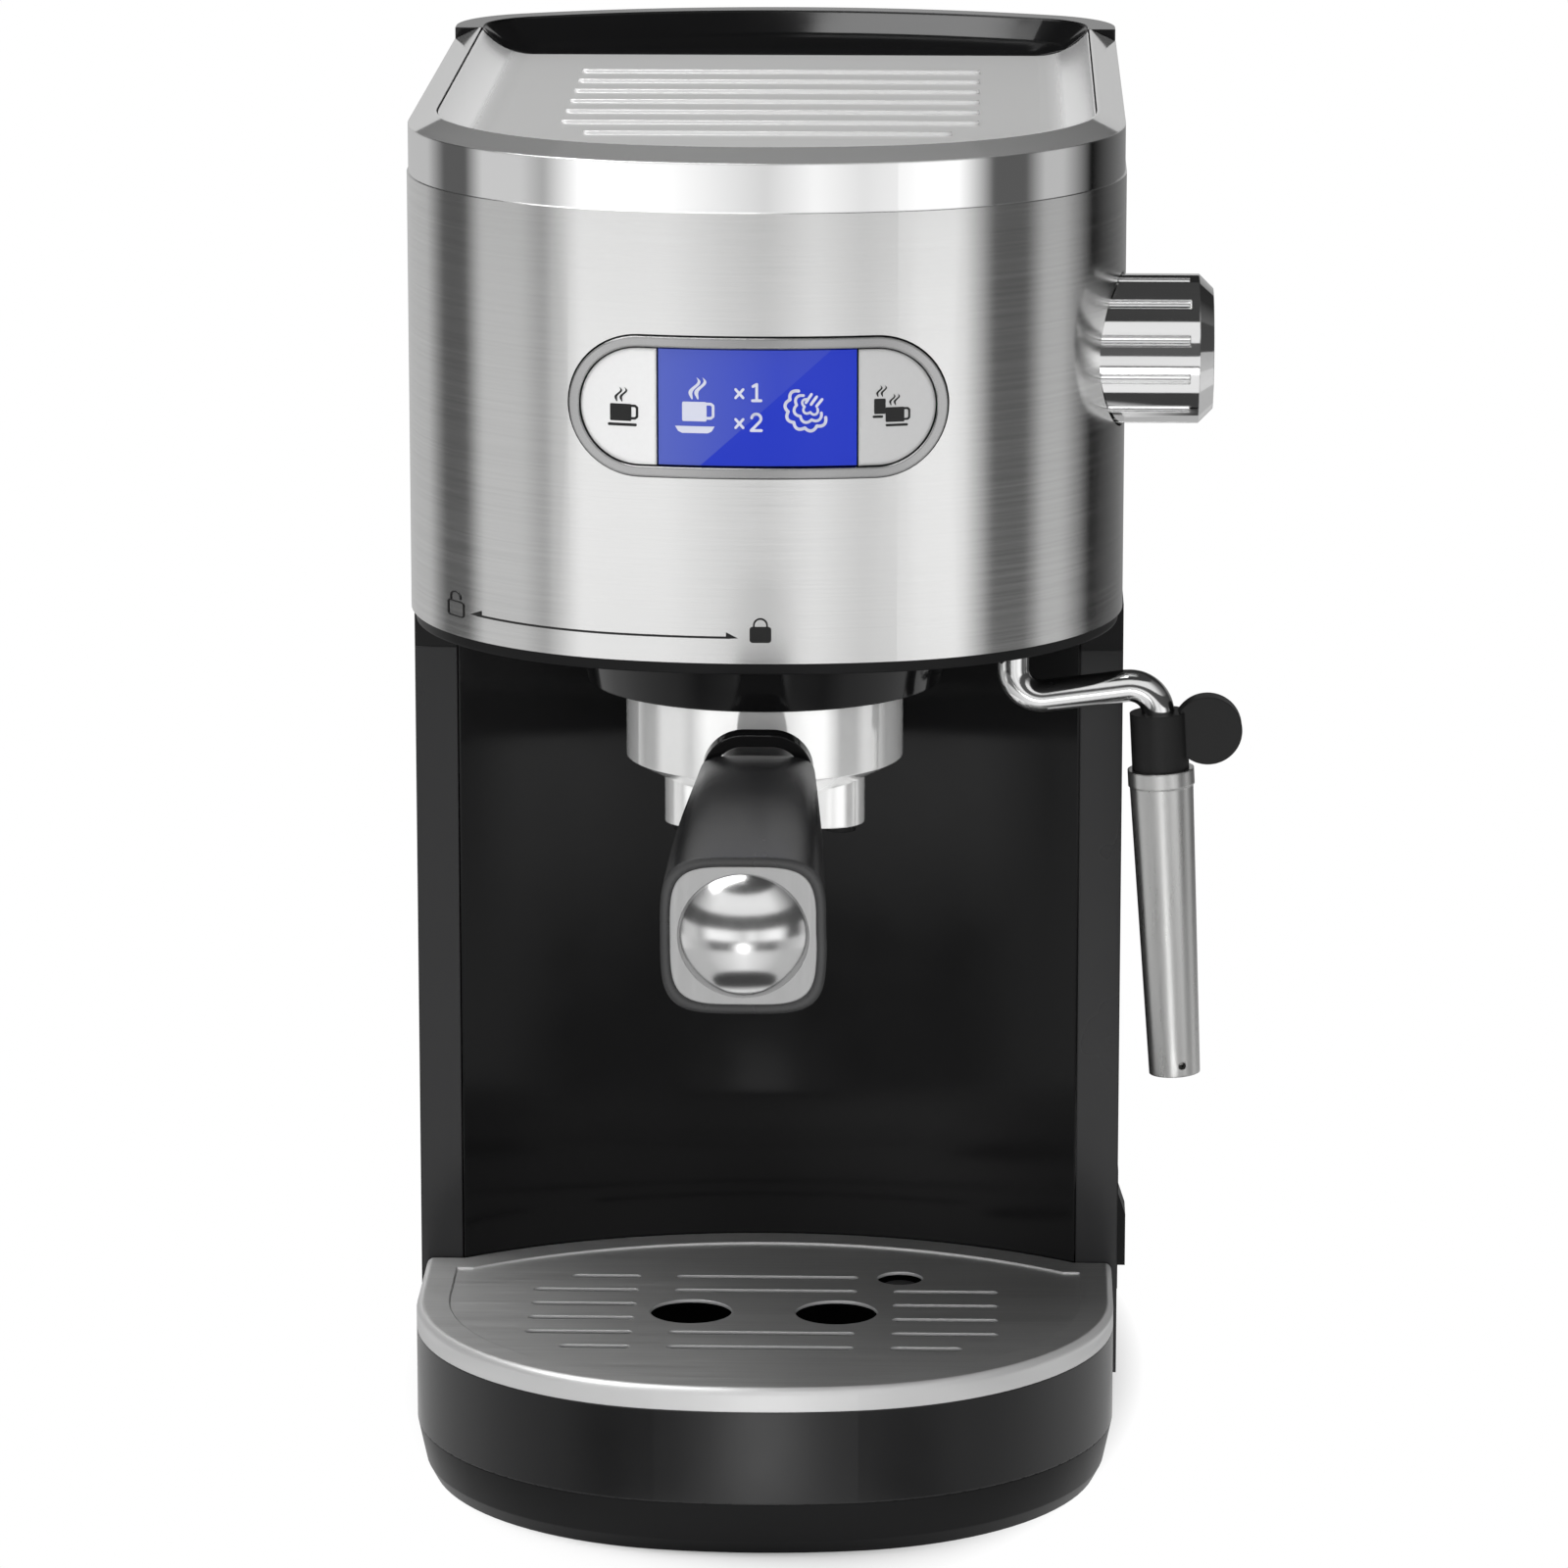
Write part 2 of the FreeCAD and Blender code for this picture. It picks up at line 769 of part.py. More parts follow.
def make_cup_warmer():
    edge = dish_edge
    inset = half_width - edge
    upper = dish_edges(dish_flat, edge, dish_floor, dish_rise, head_front)
    lower = dish_edges(dish_flat, edge, dish_floor - dish_sheet, dish_rise, head_front)
    top = dish_floor + dish_rise
    ends = [line((s * edge, head_front, top - dish_sheet), (s * edge, head_front, top)) for s in (-1, 1)]
    dish = Part.Face(closed(upper + lower + ends)).extrude(Vector(0, split_y - head_front, 0))
    dish = dish.common(raise_wire(head_plan(inset, split_y, dish_floor - dish_sheet - 1), dish_rise + 5))
    ribs = []
    for row in range(rib_count):
        y = rib_rear_y - row * rib_pitch
        half = rib_short_half_length if row == rib_count - 1 else rib_half_length
        z0 = dish_floor - dish_sheet / 2
        z1 = dish_floor + rib_height
        ribs.append(box(-half, half, y - rib_width / 2, y + rib_width / 2, z0, z1))
        ribs.append(upright(rib_width / 2, -half, y, z0, z1))
        ribs.append(upright(rib_width / 2, half, y, z0, z1))
    save("cup_warmer", join([dish] + ribs))


# Water tank, its valve and seat, and the lid with its sloped hollow
def make_tank():
    tank = raise_wire(tank_plan(0, tank_front, tank_bottom), tank_top - tank_bottom)
    inside = tank_bottom + tank_floor
    tank = tank.cut(raise_wire(tank_plan(tank_wall, tank_front + tank_wall, inside), tank_top))
    tank = tank.cut(upright(outlet_radius, 0, outlet_y, tank_bottom - 1, inside + 1))
    save("water_tank", tank)

    valve = upright(outlet_radius - seat_gap, 0, outlet_y, base_top + seat_gap, inside + 1)
    valve = valve.fuse(upright(valve_flange, 0, outlet_y, inside, inside + valve_flange_wall))
    valve = valve.cut(upright(water_radius, 0, outlet_y, base_top - 1, inside + 5))
    save("tank_valve", valve.removeSplitter())

    seat = raise_wire(tank_plan(seat_inset, tank_front + seat_gap, base_top), tank_bottom - base_top)
    save("tank_seat", seat.cut(upright(outlet_radius, 0, outlet_y, base_top - 1, tank_bottom + 1)))

    lid = raise_wire(tank_plan(0, tank_front, tank_top), lid_top - tank_top)
    plug_inset = tank_wall + seat_gap
    plug = raise_wire(tank_plan(plug_inset, tank_front + plug_inset, tank_top - lid_plug), lid_plug + 1)
    edge = tank_half_width - dish_edge
    flat = tank_half_width - dish_flat
    mid_x, mid_z = rise_points(dish_flat, dish_edge, dish_floor, dish_rise)
    rim_z = dish_floor + dish_rise
    steps = ((flat, dish_floor), (tank_half_width - mid_x, mid_z), (edge, rim_z), (edge, lid_top + seat_gap))
    hollow = [tank_plan(inset, tank_front - seat_gap, z) for inset, z in steps]
    lid = lid.fuse(plug).cut(Part.makeLoft(hollow, True, True))
    save("tank_lid", lid.removeSplitter())


# Control panel
def front_block(shape, proud):
    low = panel_z - 2 * bezel_half_height
    return shape.common(raise_wire(head_plan(-proud, 0, low), 4 * bezel_half_height))


def make_panel():
    far = head_front - 10
    ring = stadium(bezel_half_width, bezel_half_height, far, bezel_back)
    inner_length = bezel_half_width - bezel_wall
    inner_height = bezel_half_height - bezel_wall
    ring = ring.cut(stadium(inner_length, inner_height, far - 1, bezel_back + 1))
    save("panel_bezel", front_block(ring, bezel_proud))

    low = panel_z - window_half_height
    high = panel_z + window_half_height
    pane = box(-window_half_width, window_half_width, far, bezel_back, low, high)
    window_back = window_proud - window_wall
    glass = front_block(pane, window_proud)
    save("display_window", glass.cut(front_block(pane, window_back)))
    module_half = window_half_width - button_gap
    module = box(-module_half, module_half, far, bezel_back, low, high)
    save("display_module", front_block(module, window_back - shaft_gap))

    keys = []
    button = stadium(inner_length - button_gap, inner_height - button_gap, far, button_back)
    for name, hand in (("button_left", -1), ("button_right", 1)):
        near = hand * (window_half_width + button_gap)
        away = hand * bezel_half_width
        side = box(min(near, away), max(near, away), far, button_back, panel_z - inner_height, panel_z + inner_height)
        save(name, front_block(button.common(side), button_proud))
        keys.append(box(hand * button_x - key_size / 2, hand * button_x + key_size / 2,
                        bezel_back - key_height, bezel_back, panel_z - key_size / 2, panel_z + key_size / 2))
    save("key_switches", Part.Compound(keys))
    board = box(-bezel_half_width, bezel_half_width, bezel_back, bezel_back + board_wall,
                panel_z - bezel_half_height, panel_z + bezel_half_height)
    save("panel_board", board)


# Group: head with its bayonet ledges, shroud, gasket and shower screen
def make_group():
    head = upright(group_radius, 0, group_y, group_bottom, group_top)
    roof = group_roof
    head = head.cut(upright(group_bore, 0, group_y, group_bottom - 1, roof))
    ledges = ring_sector(ledge_bore, group_bore + 1, group_bottom, group_bottom + ledge_height,
                         ledge_half_angle, 0, group_y)
    head = join([head] + ledges)
    head = head.cut(upright(screw_radius + shaft_gap, 0, group_y, roof - 1, group_top + 1))
    save("group_head", head)

    bell = Part.makeCone(shroud_radius - shroud_taper, shroud_radius, seam_drop, Vector(0, group_y, seam_z))
    bell = bell.cut(upright(group_radius + seat_gap, 0, group_y, seam_z - 1, head_bottom + 1))
    save("group_shroud", bell)

    gasket = upright(group_bore - seat_gap, 0, group_y, gasket_bottom, roof)
    save("group_gasket", gasket.cut(upright(gasket_bore, 0, group_y, gasket_bottom - 1, roof + 1)))
    screen = upright(screen_radius, 0, group_y, roof - screen_wall, roof)
    save("shower_screen", screen.cut(upright(screw_radius + shaft_gap, 0, group_y, roof - 5, roof + 1)))
    screw = upright(screw_radius * 2, 0, group_y, roof - 2 * screen_wall, roof - screen_wall)
    save("shower_screw", screw.fuse(upright(screw_radius, 0, group_y, roof - screen_wall, group_top)))


# Boiler with its heating element and thermostats
def make_boiler():
    cup = upright(boiler_radius, 0, group_y, group_top, boiler_split)
    save("boiler_cup", cup.cut(upright(boiler_bore, 0, group_y, boiler_floor, boiler_split + 1)))
    lid = upright(boiler_radius, 0, group_y, boiler_split, boiler_top)
    save("boiler_lid", lid.cut(upright(boiler_bore, 0, group_y, boiler_split - 1, boiler_roof)))
    loop = Part.makeTorus(element_radius, element_tube, Vector(0, group_y, element_z))
    legs = [upright(element_tube, s * element_radius, group_y, element_z, boiler_roof) for s in (-1, 1)]
    save("heating_element", join([loop] + legs))
    discs = [upright(thermostat_radius, s * thermostat_x, group_y, boiler_top, boiler_top + thermostat_height)
             for s in (-1, 1)]
    save("thermostats", Part.Compound(discs))


# Portafilter: basin with lugs and arm, basket, spout, handle and basket clip
def tilt(shape):
    shape.rotate(Vector(0, 0, 0), Vector(1, 0, 0), handle_slope)
    shape.translate(Vector(0, handle_root_y, handle_root_z))
    return shape


def make_portafilter():
    rim = gasket_bottom - basket_sheet
    body = upright(basin_radius, 0, group_y, basin_bottom, basin_top)
    cone = Part.makeCone(cone_radius, basin_radius, basin_bottom - cone_bottom, Vector(0, group_y, cone_bottom))
    neck = upright(neck_radius, 0, group_y, basin_top - 1, rim)
    lugs = ring_sector(neck_radius - 1, lug_radius, lug_bottom, lug_bottom + lug_height, lug_half_angle, 0, group_y)
    arm = tilt(along_y(arm_radius, -arm_end, 3 * arm_sunk, 0, 0))
    body = join([body, cone, neck, arm] + lugs)
    body = body.cut(upright(cup_radius, 0, group_y, cup_floor, rim + 1))
    body = body.cut(upright(spout_bore, 0, group_y, cone_bottom - 1, cup_floor + 1))
    body = body.cut(tilt(along_y(bolt_radius + shaft_gap, -arm_end - 1, -arm_end + bolt_grip, 0, 0)))
    save("portafilter_basin", body)

    cup_outer = cup_radius - seat_gap
    basket = upright(cup_outer, 0, group_y, basket_floor, rim + basket_sheet)
    basket = basket.fuse(upright(basket_flange, 0, group_y, rim, rim + basket_sheet))
    basket = basket.cut(upright(cup_outer - basket_wall, 0, group_y, basket_floor + basket_wall, rim + 5))
    save("filter_basket", basket.removeSplitter())

    length = spout_half_length - spout_half_depth
    spout = box(-length, length, group_y - spout_half_depth, group_y + spout_half_depth, spout_bottom, cone_bottom)
    ends = [upright(spout_half_depth, s * length, group_y, spout_bottom, cone_bottom) for s in (-1, 1)]
    spout = join([spout] + ends)
    middle_z = (spout_bottom + cone_bottom) / 2
    gallery = along_x(spout_bore, -tip_x, tip_x, group_y, middle_z)
    drops = [upright(tip_bore, s * tip_x, group_y, spout_bottom - 1, middle_z) for s in (-1, 1)]
    feed = upright(spout_bore, 0, group_y, middle_z, cone_bottom + 1)
    save("spout_block", spout.cut(join([gallery, feed] + drops)))
    tips = [upright(tip_radius, s * tip_x, group_y, spout_bottom - tip_height, spout_bottom)
            .cut(upright(tip_bore, s * tip_x, group_y, spout_bottom - 2 * tip_height, spout_bottom + 1)) for s in (-1, 1)]
    save("spout_tips", Part.Compound(tips))
    make_handle()


# A square with bowed sides and soft corners in the XZ plane
def squarish(size_x, size_z, y):
    points = []
    for index in range(outline_points):
        angle = 2 * math.pi * index / outline_points
        reach = []
        for value, size in ((math.cos(angle), size_x), (math.sin(angle), size_z)):
            reach.append(math.copysign(abs(value) ** (2 / corner_power) * size / 2, value))
        points.append(Vector(reach[0], y, reach[1]))
    curve = Part.BSplineCurve()
    curve.interpolate(points, PeriodicFlag=True)
    return Part.Wire(curve.toShape())


def make_handle():
    sections = [squarish(root_width, root_height, -handle_start),
                squarish(mid_width, mid_height, -(handle_start + handle_end) / 2),
                squarish(end_size, end_size, -handle_end)]
    grip = Part.makeLoft(sections, True, False)
    neck = Part.Face(rounded(neck_width, neck_height, neck_corner, -handle_start - 1))
    grip = grip.fuse(neck.extrude(Vector(0, handle_start + 1 - neck_start, 0)))
    grip = grip.cut(along_y(arm_radius + shaft_gap, -arm_end - seat_gap, 0, 0, 0))
    grip = grip.cut(along_y(bolt_radius + shaft_gap, -bolt_end, 0, 0, 0))
    pocket = Part.Face(squarish(frame_size + shaft_gap, frame_size + shaft_gap, -handle_end))
    grip = grip.cut(pocket.extrude(Vector(0, frame_wall, 0)))
    pin_half = clip_width / 2
    pin_hole = along_x(clip_pin_radius + shaft_gap, -pin_half, pin_half, -clip_pivot, -clip_pivot_drop)
    save("handle", tilt(grip.cut(pin_hole)))

    plate = Part.Face(squarish(frame_size, frame_size, -handle_end))
    save("handle_frame", tilt(plate.extrude(Vector(0, frame_wall, 0))))
    ball = (dome_radius ** 2 + dome_height ** 2) / (2 * dome_height)
    dome = Part.makeSphere(ball, Vector(0, -handle_end - dome_height + ball, 0))
    dome = dome.common(box(-ball, ball, -handle_end - ball, -handle_end, -ball, ball))
    save("handle_dome", tilt(dome))
    save("handle_bolt", tilt(along_y(bolt_radius, -bolt_end, -arm_end + bolt_grip, 0, 0)))

    save("clip_pin", tilt(along_x(clip_pin_radius, -pin_half, pin_half, -clip_pivot, -clip_pivot_drop)))
    front = -clip_pivot - clip_depth / 2
    arch = Part.Face(rounded(clip_width, clip_height, clip_corner, front)).extrude(Vector(0, clip_depth, 0))
    inner_width = clip_width - 2 * clip_wall
    inner_height = clip_height - 2 * clip_wall
    room = Part.Face(rounded(inner_width, inner_height, clip_corner - clip_wall, front - 1))
    arch = arch.cut(room.extrude(Vector(0, clip_depth + 2, 0)))
    below = box(-clip_width, clip_width, front - 1, front + clip_depth + 1, -clip_height, -clip_leg_drop)
    save("basket_clip", tilt(arch.cut(below).cut(pin_hole)))


# Steam wand: socket, bent pipe, rubber grip with its thumb tab, and froth sleeve
def lean(shape):
    shape.rotate(Vector(0, 0, 0), Vector(0, 1, 0), -wand_lean)
    shape.translate(Vector(pipe_run_x, wand_y, pipe_end_z))
    return shape


def make_wand():
    socket = upright(socket_radius, wand_x, wand_y, head_bottom - socket_drop, head_bottom)
    socket = socket.fuse(upright(socket_stem, wand_x, wand_y, head_bottom - 1, socket_top))
    bore = upright(pipe_radius + shaft_gap, wand_x, wand_y, head_bottom - socket_drop - 1, socket_top + 1)
    save("wand_socket", socket.removeSplitter().cut(bore))

    angle = math.radians(wand_lean)
    tail = (pipe_run_x + pipe_tail * math.sin(angle), wand_y, pipe_end_z - pipe_tail * math.cos(angle))
    points = [(wand_x, wand_y, pipe_top), (wand_x, wand_y, pipe_run_z), (pipe_run_x, wand_y, pipe_end_z), tail]
    save("wand_pipe", tube(points, pipe_bend, pipe_radius))

    grip = Part.makeCylinder(grip_radius, grip_end - grip_start, Vector(0, 0, -grip_end))
    tab = along_y(tab_radius, -tab_wall / 2, tab_wall / 2, tab_offset, -tab_drop)
    web = box(0, tab_offset, -tab_wall / 2, tab_wall / 2, -tab_drop - tab_web / 2, -tab_drop + tab_web / 2)
    grip = join([grip, tab, web])
    grip = grip.cut(Part.makeCylinder(pipe_radius + shaft_gap, grip_end + 9, Vector(0, 0, -grip_end - 1)))
    save("wand_grip", lean(grip))

    collar = Part.makeCylinder(sleeve_top_radius, sleeve_collar, Vector(0, 0, -grip_end - sleeve_collar))
    taper_top = -grip_end - sleeve_collar
    taper = Part.makeCone(sleeve_tip_radius, sleeve_top_radius - sleeve_step, taper_top + sleeve_end,
                          Vector(0, 0, -sleeve_end))
    sleeve = collar.fuse(taper).removeSplitter()
    bore_low = sleeve_tip_wall - sleeve_end
    sleeve = sleeve.cut(Part.makeCylinder(sleeve_bore, 1 - grip_end - bore_low, Vector(0, 0, bore_low)))
    sleeve = sleeve.cut(Part.makeCylinder(sleeve_mouth, 2 * sleeve_tip_wall, Vector(0, 0, -sleeve_end - 1)))
    vent_z = sleeve_vent_rise - sleeve_end
    sleeve = sleeve.cut(along_y(sleeve_vent, -sleeve_top_radius, 0, sleeve_vent_x, vent_z))
    save("froth_sleeve", lean(sleeve))


# Steam knob on its spindle, the valve and the hose down to the wand socket
def make_steam():
    knob = along_x(knob_radius, knob_root_x, knob_edge_x, knob_y, knob_z)
    cap = Part.makeCone(knob_radius, knob_radius - knob_chamfer, knob_end_x - knob_edge_x,
                        Vector(knob_edge_x, knob_y, knob_z), Vector(1, 0, 0))
    knob = knob.fuse(cap).removeSplitter()
    cuts = []
    for index in range(knob_grooves):
        angle = 2 * math.pi * (index + 0.5) / knob_grooves
        y = knob_y + knob_radius * math.cos(angle)
        z = knob_z + knob_radius * math.sin(angle)
        cuts.append(along_x(groove_radius, knob_root_x - 1, knob_edge_x - groove_margin, y, z))
    knob = knob.cut(Part.Compound(cuts))
    room = along_x(knob_radius - knob_wall, knob_root_x - 1, knob_edge_x - knob_wall, knob_y, knob_z)
    hub = along_x(knob_hub, knob_root_x + knob_hub_inset, knob_edge_x, knob_y, knob_z)
    knob = knob.cut(room.cut(hub))
    knob = knob.cut(along_x(spindle_radius + shaft_gap, knob_root_x - 1, spindle_end_x + shaft_gap, knob_y, knob_z))
    save("steam_knob", knob)
    save("valve_spindle", along_x(spindle_radius, spindle_start_x, spindle_end_x, knob_y, knob_z))

    valve = box(valve_left_x, valve_right_x, knob_y - valve_ahead, knob_y + valve_behind, valve_bottom, valve_top)
    valve = valve.cut(along_x(spindle_radius + shaft_gap, spindle_start_x - seat_gap, valve_right_x + 1,
                              knob_y, knob_z))
    save("steam_valve", valve)
    hose = upright(hose_radius, wand_x, wand_y, socket_top, valve_bottom)
    save("steam_hose", hose.cut(upright(hose_bore, wand_x, wand_y, socket_top - 1, valve_bottom + 1)))


# Pump on two saddles, and the hoses from the tank seat and up to the boiler
def make_water():
    left = pump_left_x - nozzle_length
    right = pump_right_x + nozzle_length
    pump = join([along_x(pump_radius, pump_left_x, pump_right_x, pump_y, pump_z),
                 along_x(nozzle_radius, left, right, pump_y, pump_z)])
    save("pump", pump)
    saddles = []
    for x in (saddle_left_x, saddle_right_x):
        block = box(x, x + saddle_width, pump_y - saddle_half_depth, pump_y + saddle_half_depth, base_top, pump_z)
        groove = along_x(pump_radius + shaft_gap, x - 1, x + saddle_width + 1, pump_y, pump_z)
        saddles.append(block.cut(groove))
    save("pump_saddles", Part.Compound(saddles))

    suction = [(0, outlet_y, base_top), (0, outlet_y, suction_z), (0, pump_y, suction_z),
               (suction_x, pump_y, suction_z), (suction_x, pump_y, pump_z), (left - shaft_gap, pump_y, pump_z)]
    hose = tube(suction, hose_bend, water_radius)
    save("suction_hose", hose.cut(tube(suction, hose_bend, water_bore)))
    boiler_back = group_y + boiler_radius + seat_gap
    riser = [(right + shaft_gap, pump_y, pump_z), (riser_x, pump_y, pump_z), (riser_x, pump_y, riser_top),
             (0, pump_y, riser_top), (0, boiler_back, riser_top)]
    hose = tube(riser, riser_bend, water_radius)
    save("pressure_hose", hose.cut(tube(riser, riser_bend, water_bore)))


# Main board
def mounted_box(middle, width, depth, low, height):
    return box(middle - width / 2, middle + width / 2, main_board_y - depth, main_board_y, low, low + height)


def make_main_board():
    foot = head_bottom + floor_wall
    board = box(-main_board_half, main_board_half, main_board_y, main_board_y + board_wall, foot, main_board_top)
    relay = mounted_box(relay_x, relay_width, relay_depth, foot + relay_rise, relay_height)
    transformer = mounted_box(transformer_x, transformer_width, transformer_depth, foot + transformer_rise,
                              transformer_height)
    capacitor = along_y(capacitor_radius, main_board_y - capacitor_length, main_board_y, capacitor_x,
                        foot + capacitor_rise)
    save("main_board", join([board, relay, transformer, capacitor]))


# Rocker switch in the right wall and the gland in the left wall
def make_switch():
    wall = column_half_width
    y0 = switch_y - switch_half_depth
    y1 = switch_y + switch_half_depth
    z0 = switch_z - switch_half_height
    z1 = switch_z + switch_half_height
    body = box(wall - switch_depth, wall + switch_flange_wall, y0, y1, z0, z1)
    rim = switch_flange
    flange = box(wall, wall + switch_flange_wall, y0 - rim, y1 + rim, z0 - rim, z1 + rim)
    body = body.fuse(flange).removeSplitter()
    cavity_y0 = y0 + switch_wall
    cavity_y1 = y1 - switch_wall
    cavity = box(wall - switch_depth + switch_back_wall, wall + switch_depth, cavity_y0, cavity_y1,
                 z0 + switch_wall - rocker_gap, z1 - switch_wall + rocker_gap)
    pivot = along_y(rocker_pin + shaft_gap, y0 - 1, y1 + 1, rocker_pivot_x, switch_z)
    save("switch_body", body.cut(cavity).cut(pivot))

    near = cavity_y0 + rocker_gap
    crest_x = wall + rocker_crest
    root_x = rocker_pivot_x - rocker_root
    low_z = switch_z - rocker_low_drop
    high_z = switch_z + rocker_high_rise
    outline = [(root_x, switch_z - rocker_root_half), (rocker_pivot_x + rocker_pin, low_z), (crest_x, low_z),
               (crest_x, switch_z + rocker_crest_rise), (wall - rocker_high_depth, high_z),
               (rocker_pivot_x + rocker_pin, high_z), (root_x, switch_z + rocker_root_half)]
    corners = [Vector(x, near, z) for x, z in outline]
    depth = cavity_y1 - cavity_y0 - 2 * rocker_gap
    rocker = Part.Face(Part.makePolygon(corners + corners[:1])).extrude(Vector(0, depth, 0))
    pin = along_y(rocker_pin, y0 + seat_gap, y1 - seat_gap, rocker_pivot_x, switch_z)
    save("switch_rocker", rocker.fuse(pin).removeSplitter())

    gland = along_x(gland_radius, -wall - gland_proud, -wall, gland_y, gland_z)
    gland = gland.fuse(along_x(gland_stem, -wall - 1, gland_depth - wall, gland_y, gland_z)).removeSplitter()
    save("cord_gland", gland.cut(along_x(gland_bore, -wall - gland_proud - 1, gland_depth - wall + 1,
                                         gland_y, gland_z)))


os.makedirs("parts", exist_ok=True)
make_base()
make_tray()
make_column()
make_head()
make_tank()
make_panel()
make_group()
make_boiler()
make_portafilter()
make_wand()
make_steam()
make_water()
make_main_board()
make_switch()
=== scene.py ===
import bpy
import bmesh
import json
import math
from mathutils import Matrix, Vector


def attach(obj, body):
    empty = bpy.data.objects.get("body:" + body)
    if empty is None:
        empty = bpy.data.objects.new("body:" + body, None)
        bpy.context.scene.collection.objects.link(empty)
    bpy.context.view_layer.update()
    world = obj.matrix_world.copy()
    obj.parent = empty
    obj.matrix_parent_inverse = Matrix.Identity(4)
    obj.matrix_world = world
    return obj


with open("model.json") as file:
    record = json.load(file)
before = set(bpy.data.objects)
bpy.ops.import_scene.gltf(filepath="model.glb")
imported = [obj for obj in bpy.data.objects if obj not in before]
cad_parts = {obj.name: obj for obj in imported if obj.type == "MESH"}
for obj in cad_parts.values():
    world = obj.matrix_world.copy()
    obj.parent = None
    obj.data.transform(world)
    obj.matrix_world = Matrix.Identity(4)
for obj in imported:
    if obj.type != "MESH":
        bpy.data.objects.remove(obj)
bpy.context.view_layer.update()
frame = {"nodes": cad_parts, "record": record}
nodes = frame["nodes"]
MM = 0.001

# Camera, in millimetres and degrees
camera_place = (46.4, -1584.9, 494.6)
camera_pitch = 12.88
camera_yaw = 1.604
camera_lens = 169.6

# Finishes: strengths of the relief, and how much the metal share changes
broad_grain = (14.0, 14.0, 14.0)
moulded_relief = 0.35
drawn_relief = 0.3
metal_swing = 0.02

# Skin of the head, in millimetres
bow_radius = 115.0
bow_centre = -5.0
corner_radius = 62.0
corner_x = 13.0
corner_y = -56.38
corner_touch = 28.21
button_proud = 0.5
window_proud = 0.2
mark_height = 0.12
mark_root = 0.2

# Slanted edge of the display's lighter half, a painted reflection on the glass, in metres
reflection_slope = 1.12
reflection_x = -0.0113
reflection_z = 0.2254
reflection_blur = 0.0001
reflection_left = -0.020
reflection_right = 0.004
reflection_most = 0.34
reflection_least = 0.10

# Places of the marks, as x and z in millimetres
one_cup_place = (-27.4, 235.6)
rear_cup_place = (25.6, 237.2)
front_cup_place = (27.9, 235.4)
display_cup_place = (-12.4, 236.2)
first_times_place = (-3.6, 240.0)
first_figure_place = (-0.2, 240.3)
second_times_place = (-3.6, 233.9)
second_figure_place = (-0.2, 234.2)
cloud_place = (10.2, 237.0)
closed_lock_place = (0.6, 191.3)
open_lock_place = (-63.2, 191.0)
one_cup_size = 1.16
display_cup_size = 1.32
figure_size = 1.9
cloud_size = 1.15

# Arrow between the two padlocks, in millimetres
lock_line_z = 189.8
lock_line_left = -59.9
lock_line_right = -4.0
lock_line_inset = 1.6
lock_line_width = 0.42
lock_line_steps = 28
arrow_length = 2.4
arrow_rise = 1.1
arrow_drop = 0.2
arrow_nose = 0.1

# Studio, in metres and watts
wall_radius = 1.7
wall_foot = -3.0
wall_tray = -0.75
wall_skirt = -0.40
wall_low = -0.29
wall_split = 0.15
wall_gap_top = 0.75
wall_high = 2.2
round_sides = 96
floor_radius = 3.0
floor_stretch = (2.28, 1.15, 0.0)
shadow_start = 0.154
shadow_end = 0.188
glossy_floor_radius = 0.17
glossy_floor_fade = 0.05
diffuse_level = 0.6
mirror_level = 0.05
backdrop_level = 1.0
top_place = (-0.60, -0.10, 1.6)
top_target = (0.0, 0.0, 0.2)
top_size = (1.0, 1.2)
top_power = 19.0
fill_place = (0.1, -1.4, 0.35)
fill_target = (0.0, 0.0, 0.15)
fill_size = (0.8, 0.6)
fill_power = 9.0


# Materials
def new_material(name):
    material = bpy.data.materials.new(name)
    material.use_nodes = True
    tree = material.node_tree
    return material, tree, tree.nodes["Principled BSDF"]


def add(tree, kind, **values):
    node = tree.nodes.new(kind)
    for key, value in values.items():
        setattr(node, key, value)
    return node


def grain(tree, scale, detail=3.0, roughness=0.6):
    place = add(tree, "ShaderNodeTexCoord")
    stretch = add(tree, "ShaderNodeMapping")
    stretch.inputs["Scale"].default_value = scale
    noise = add(tree, "ShaderNodeTexNoise")
    noise.inputs["Scale"].default_value = 1.0
    noise.inputs["Detail"].default_value = detail
    noise.inputs["Roughness"].default_value = roughness
    tree.links.new(place.outputs["Object"], stretch.inputs["Vector"])
    tree.links.new(stretch.outputs["Vector"], noise.inputs["Vector"])
    return noise.outputs["Fac"]


def spread(tree, source, low, high, start=0.3, end=0.7):
    span = add(tree, "ShaderNodeMapRange")
    span.inputs["From Min"].default_value = start
    span.inputs["From Max"].default_value = end
    span.inputs["To Min"].default_value = low
    span.inputs["To Max"].default_value = high
    tree.links.new(source, span.inputs["Value"])
    return span.outputs["Result"]


def shades(tree, source, dark, light):
    ramp = add(tree, "ShaderNodeValToRGB")
    ramp.color_ramp.elements[0].position = 0.3
    ramp.color_ramp.elements[1].position = 0.7
    ramp.color_ramp.elements[0].color = (*dark, 1.0)
    ramp.color_ramp.elements[1].color = (*light, 1.0)
    tree.links.new(source, ramp.inputs["Fac"])
    return ramp.outputs["Color"]


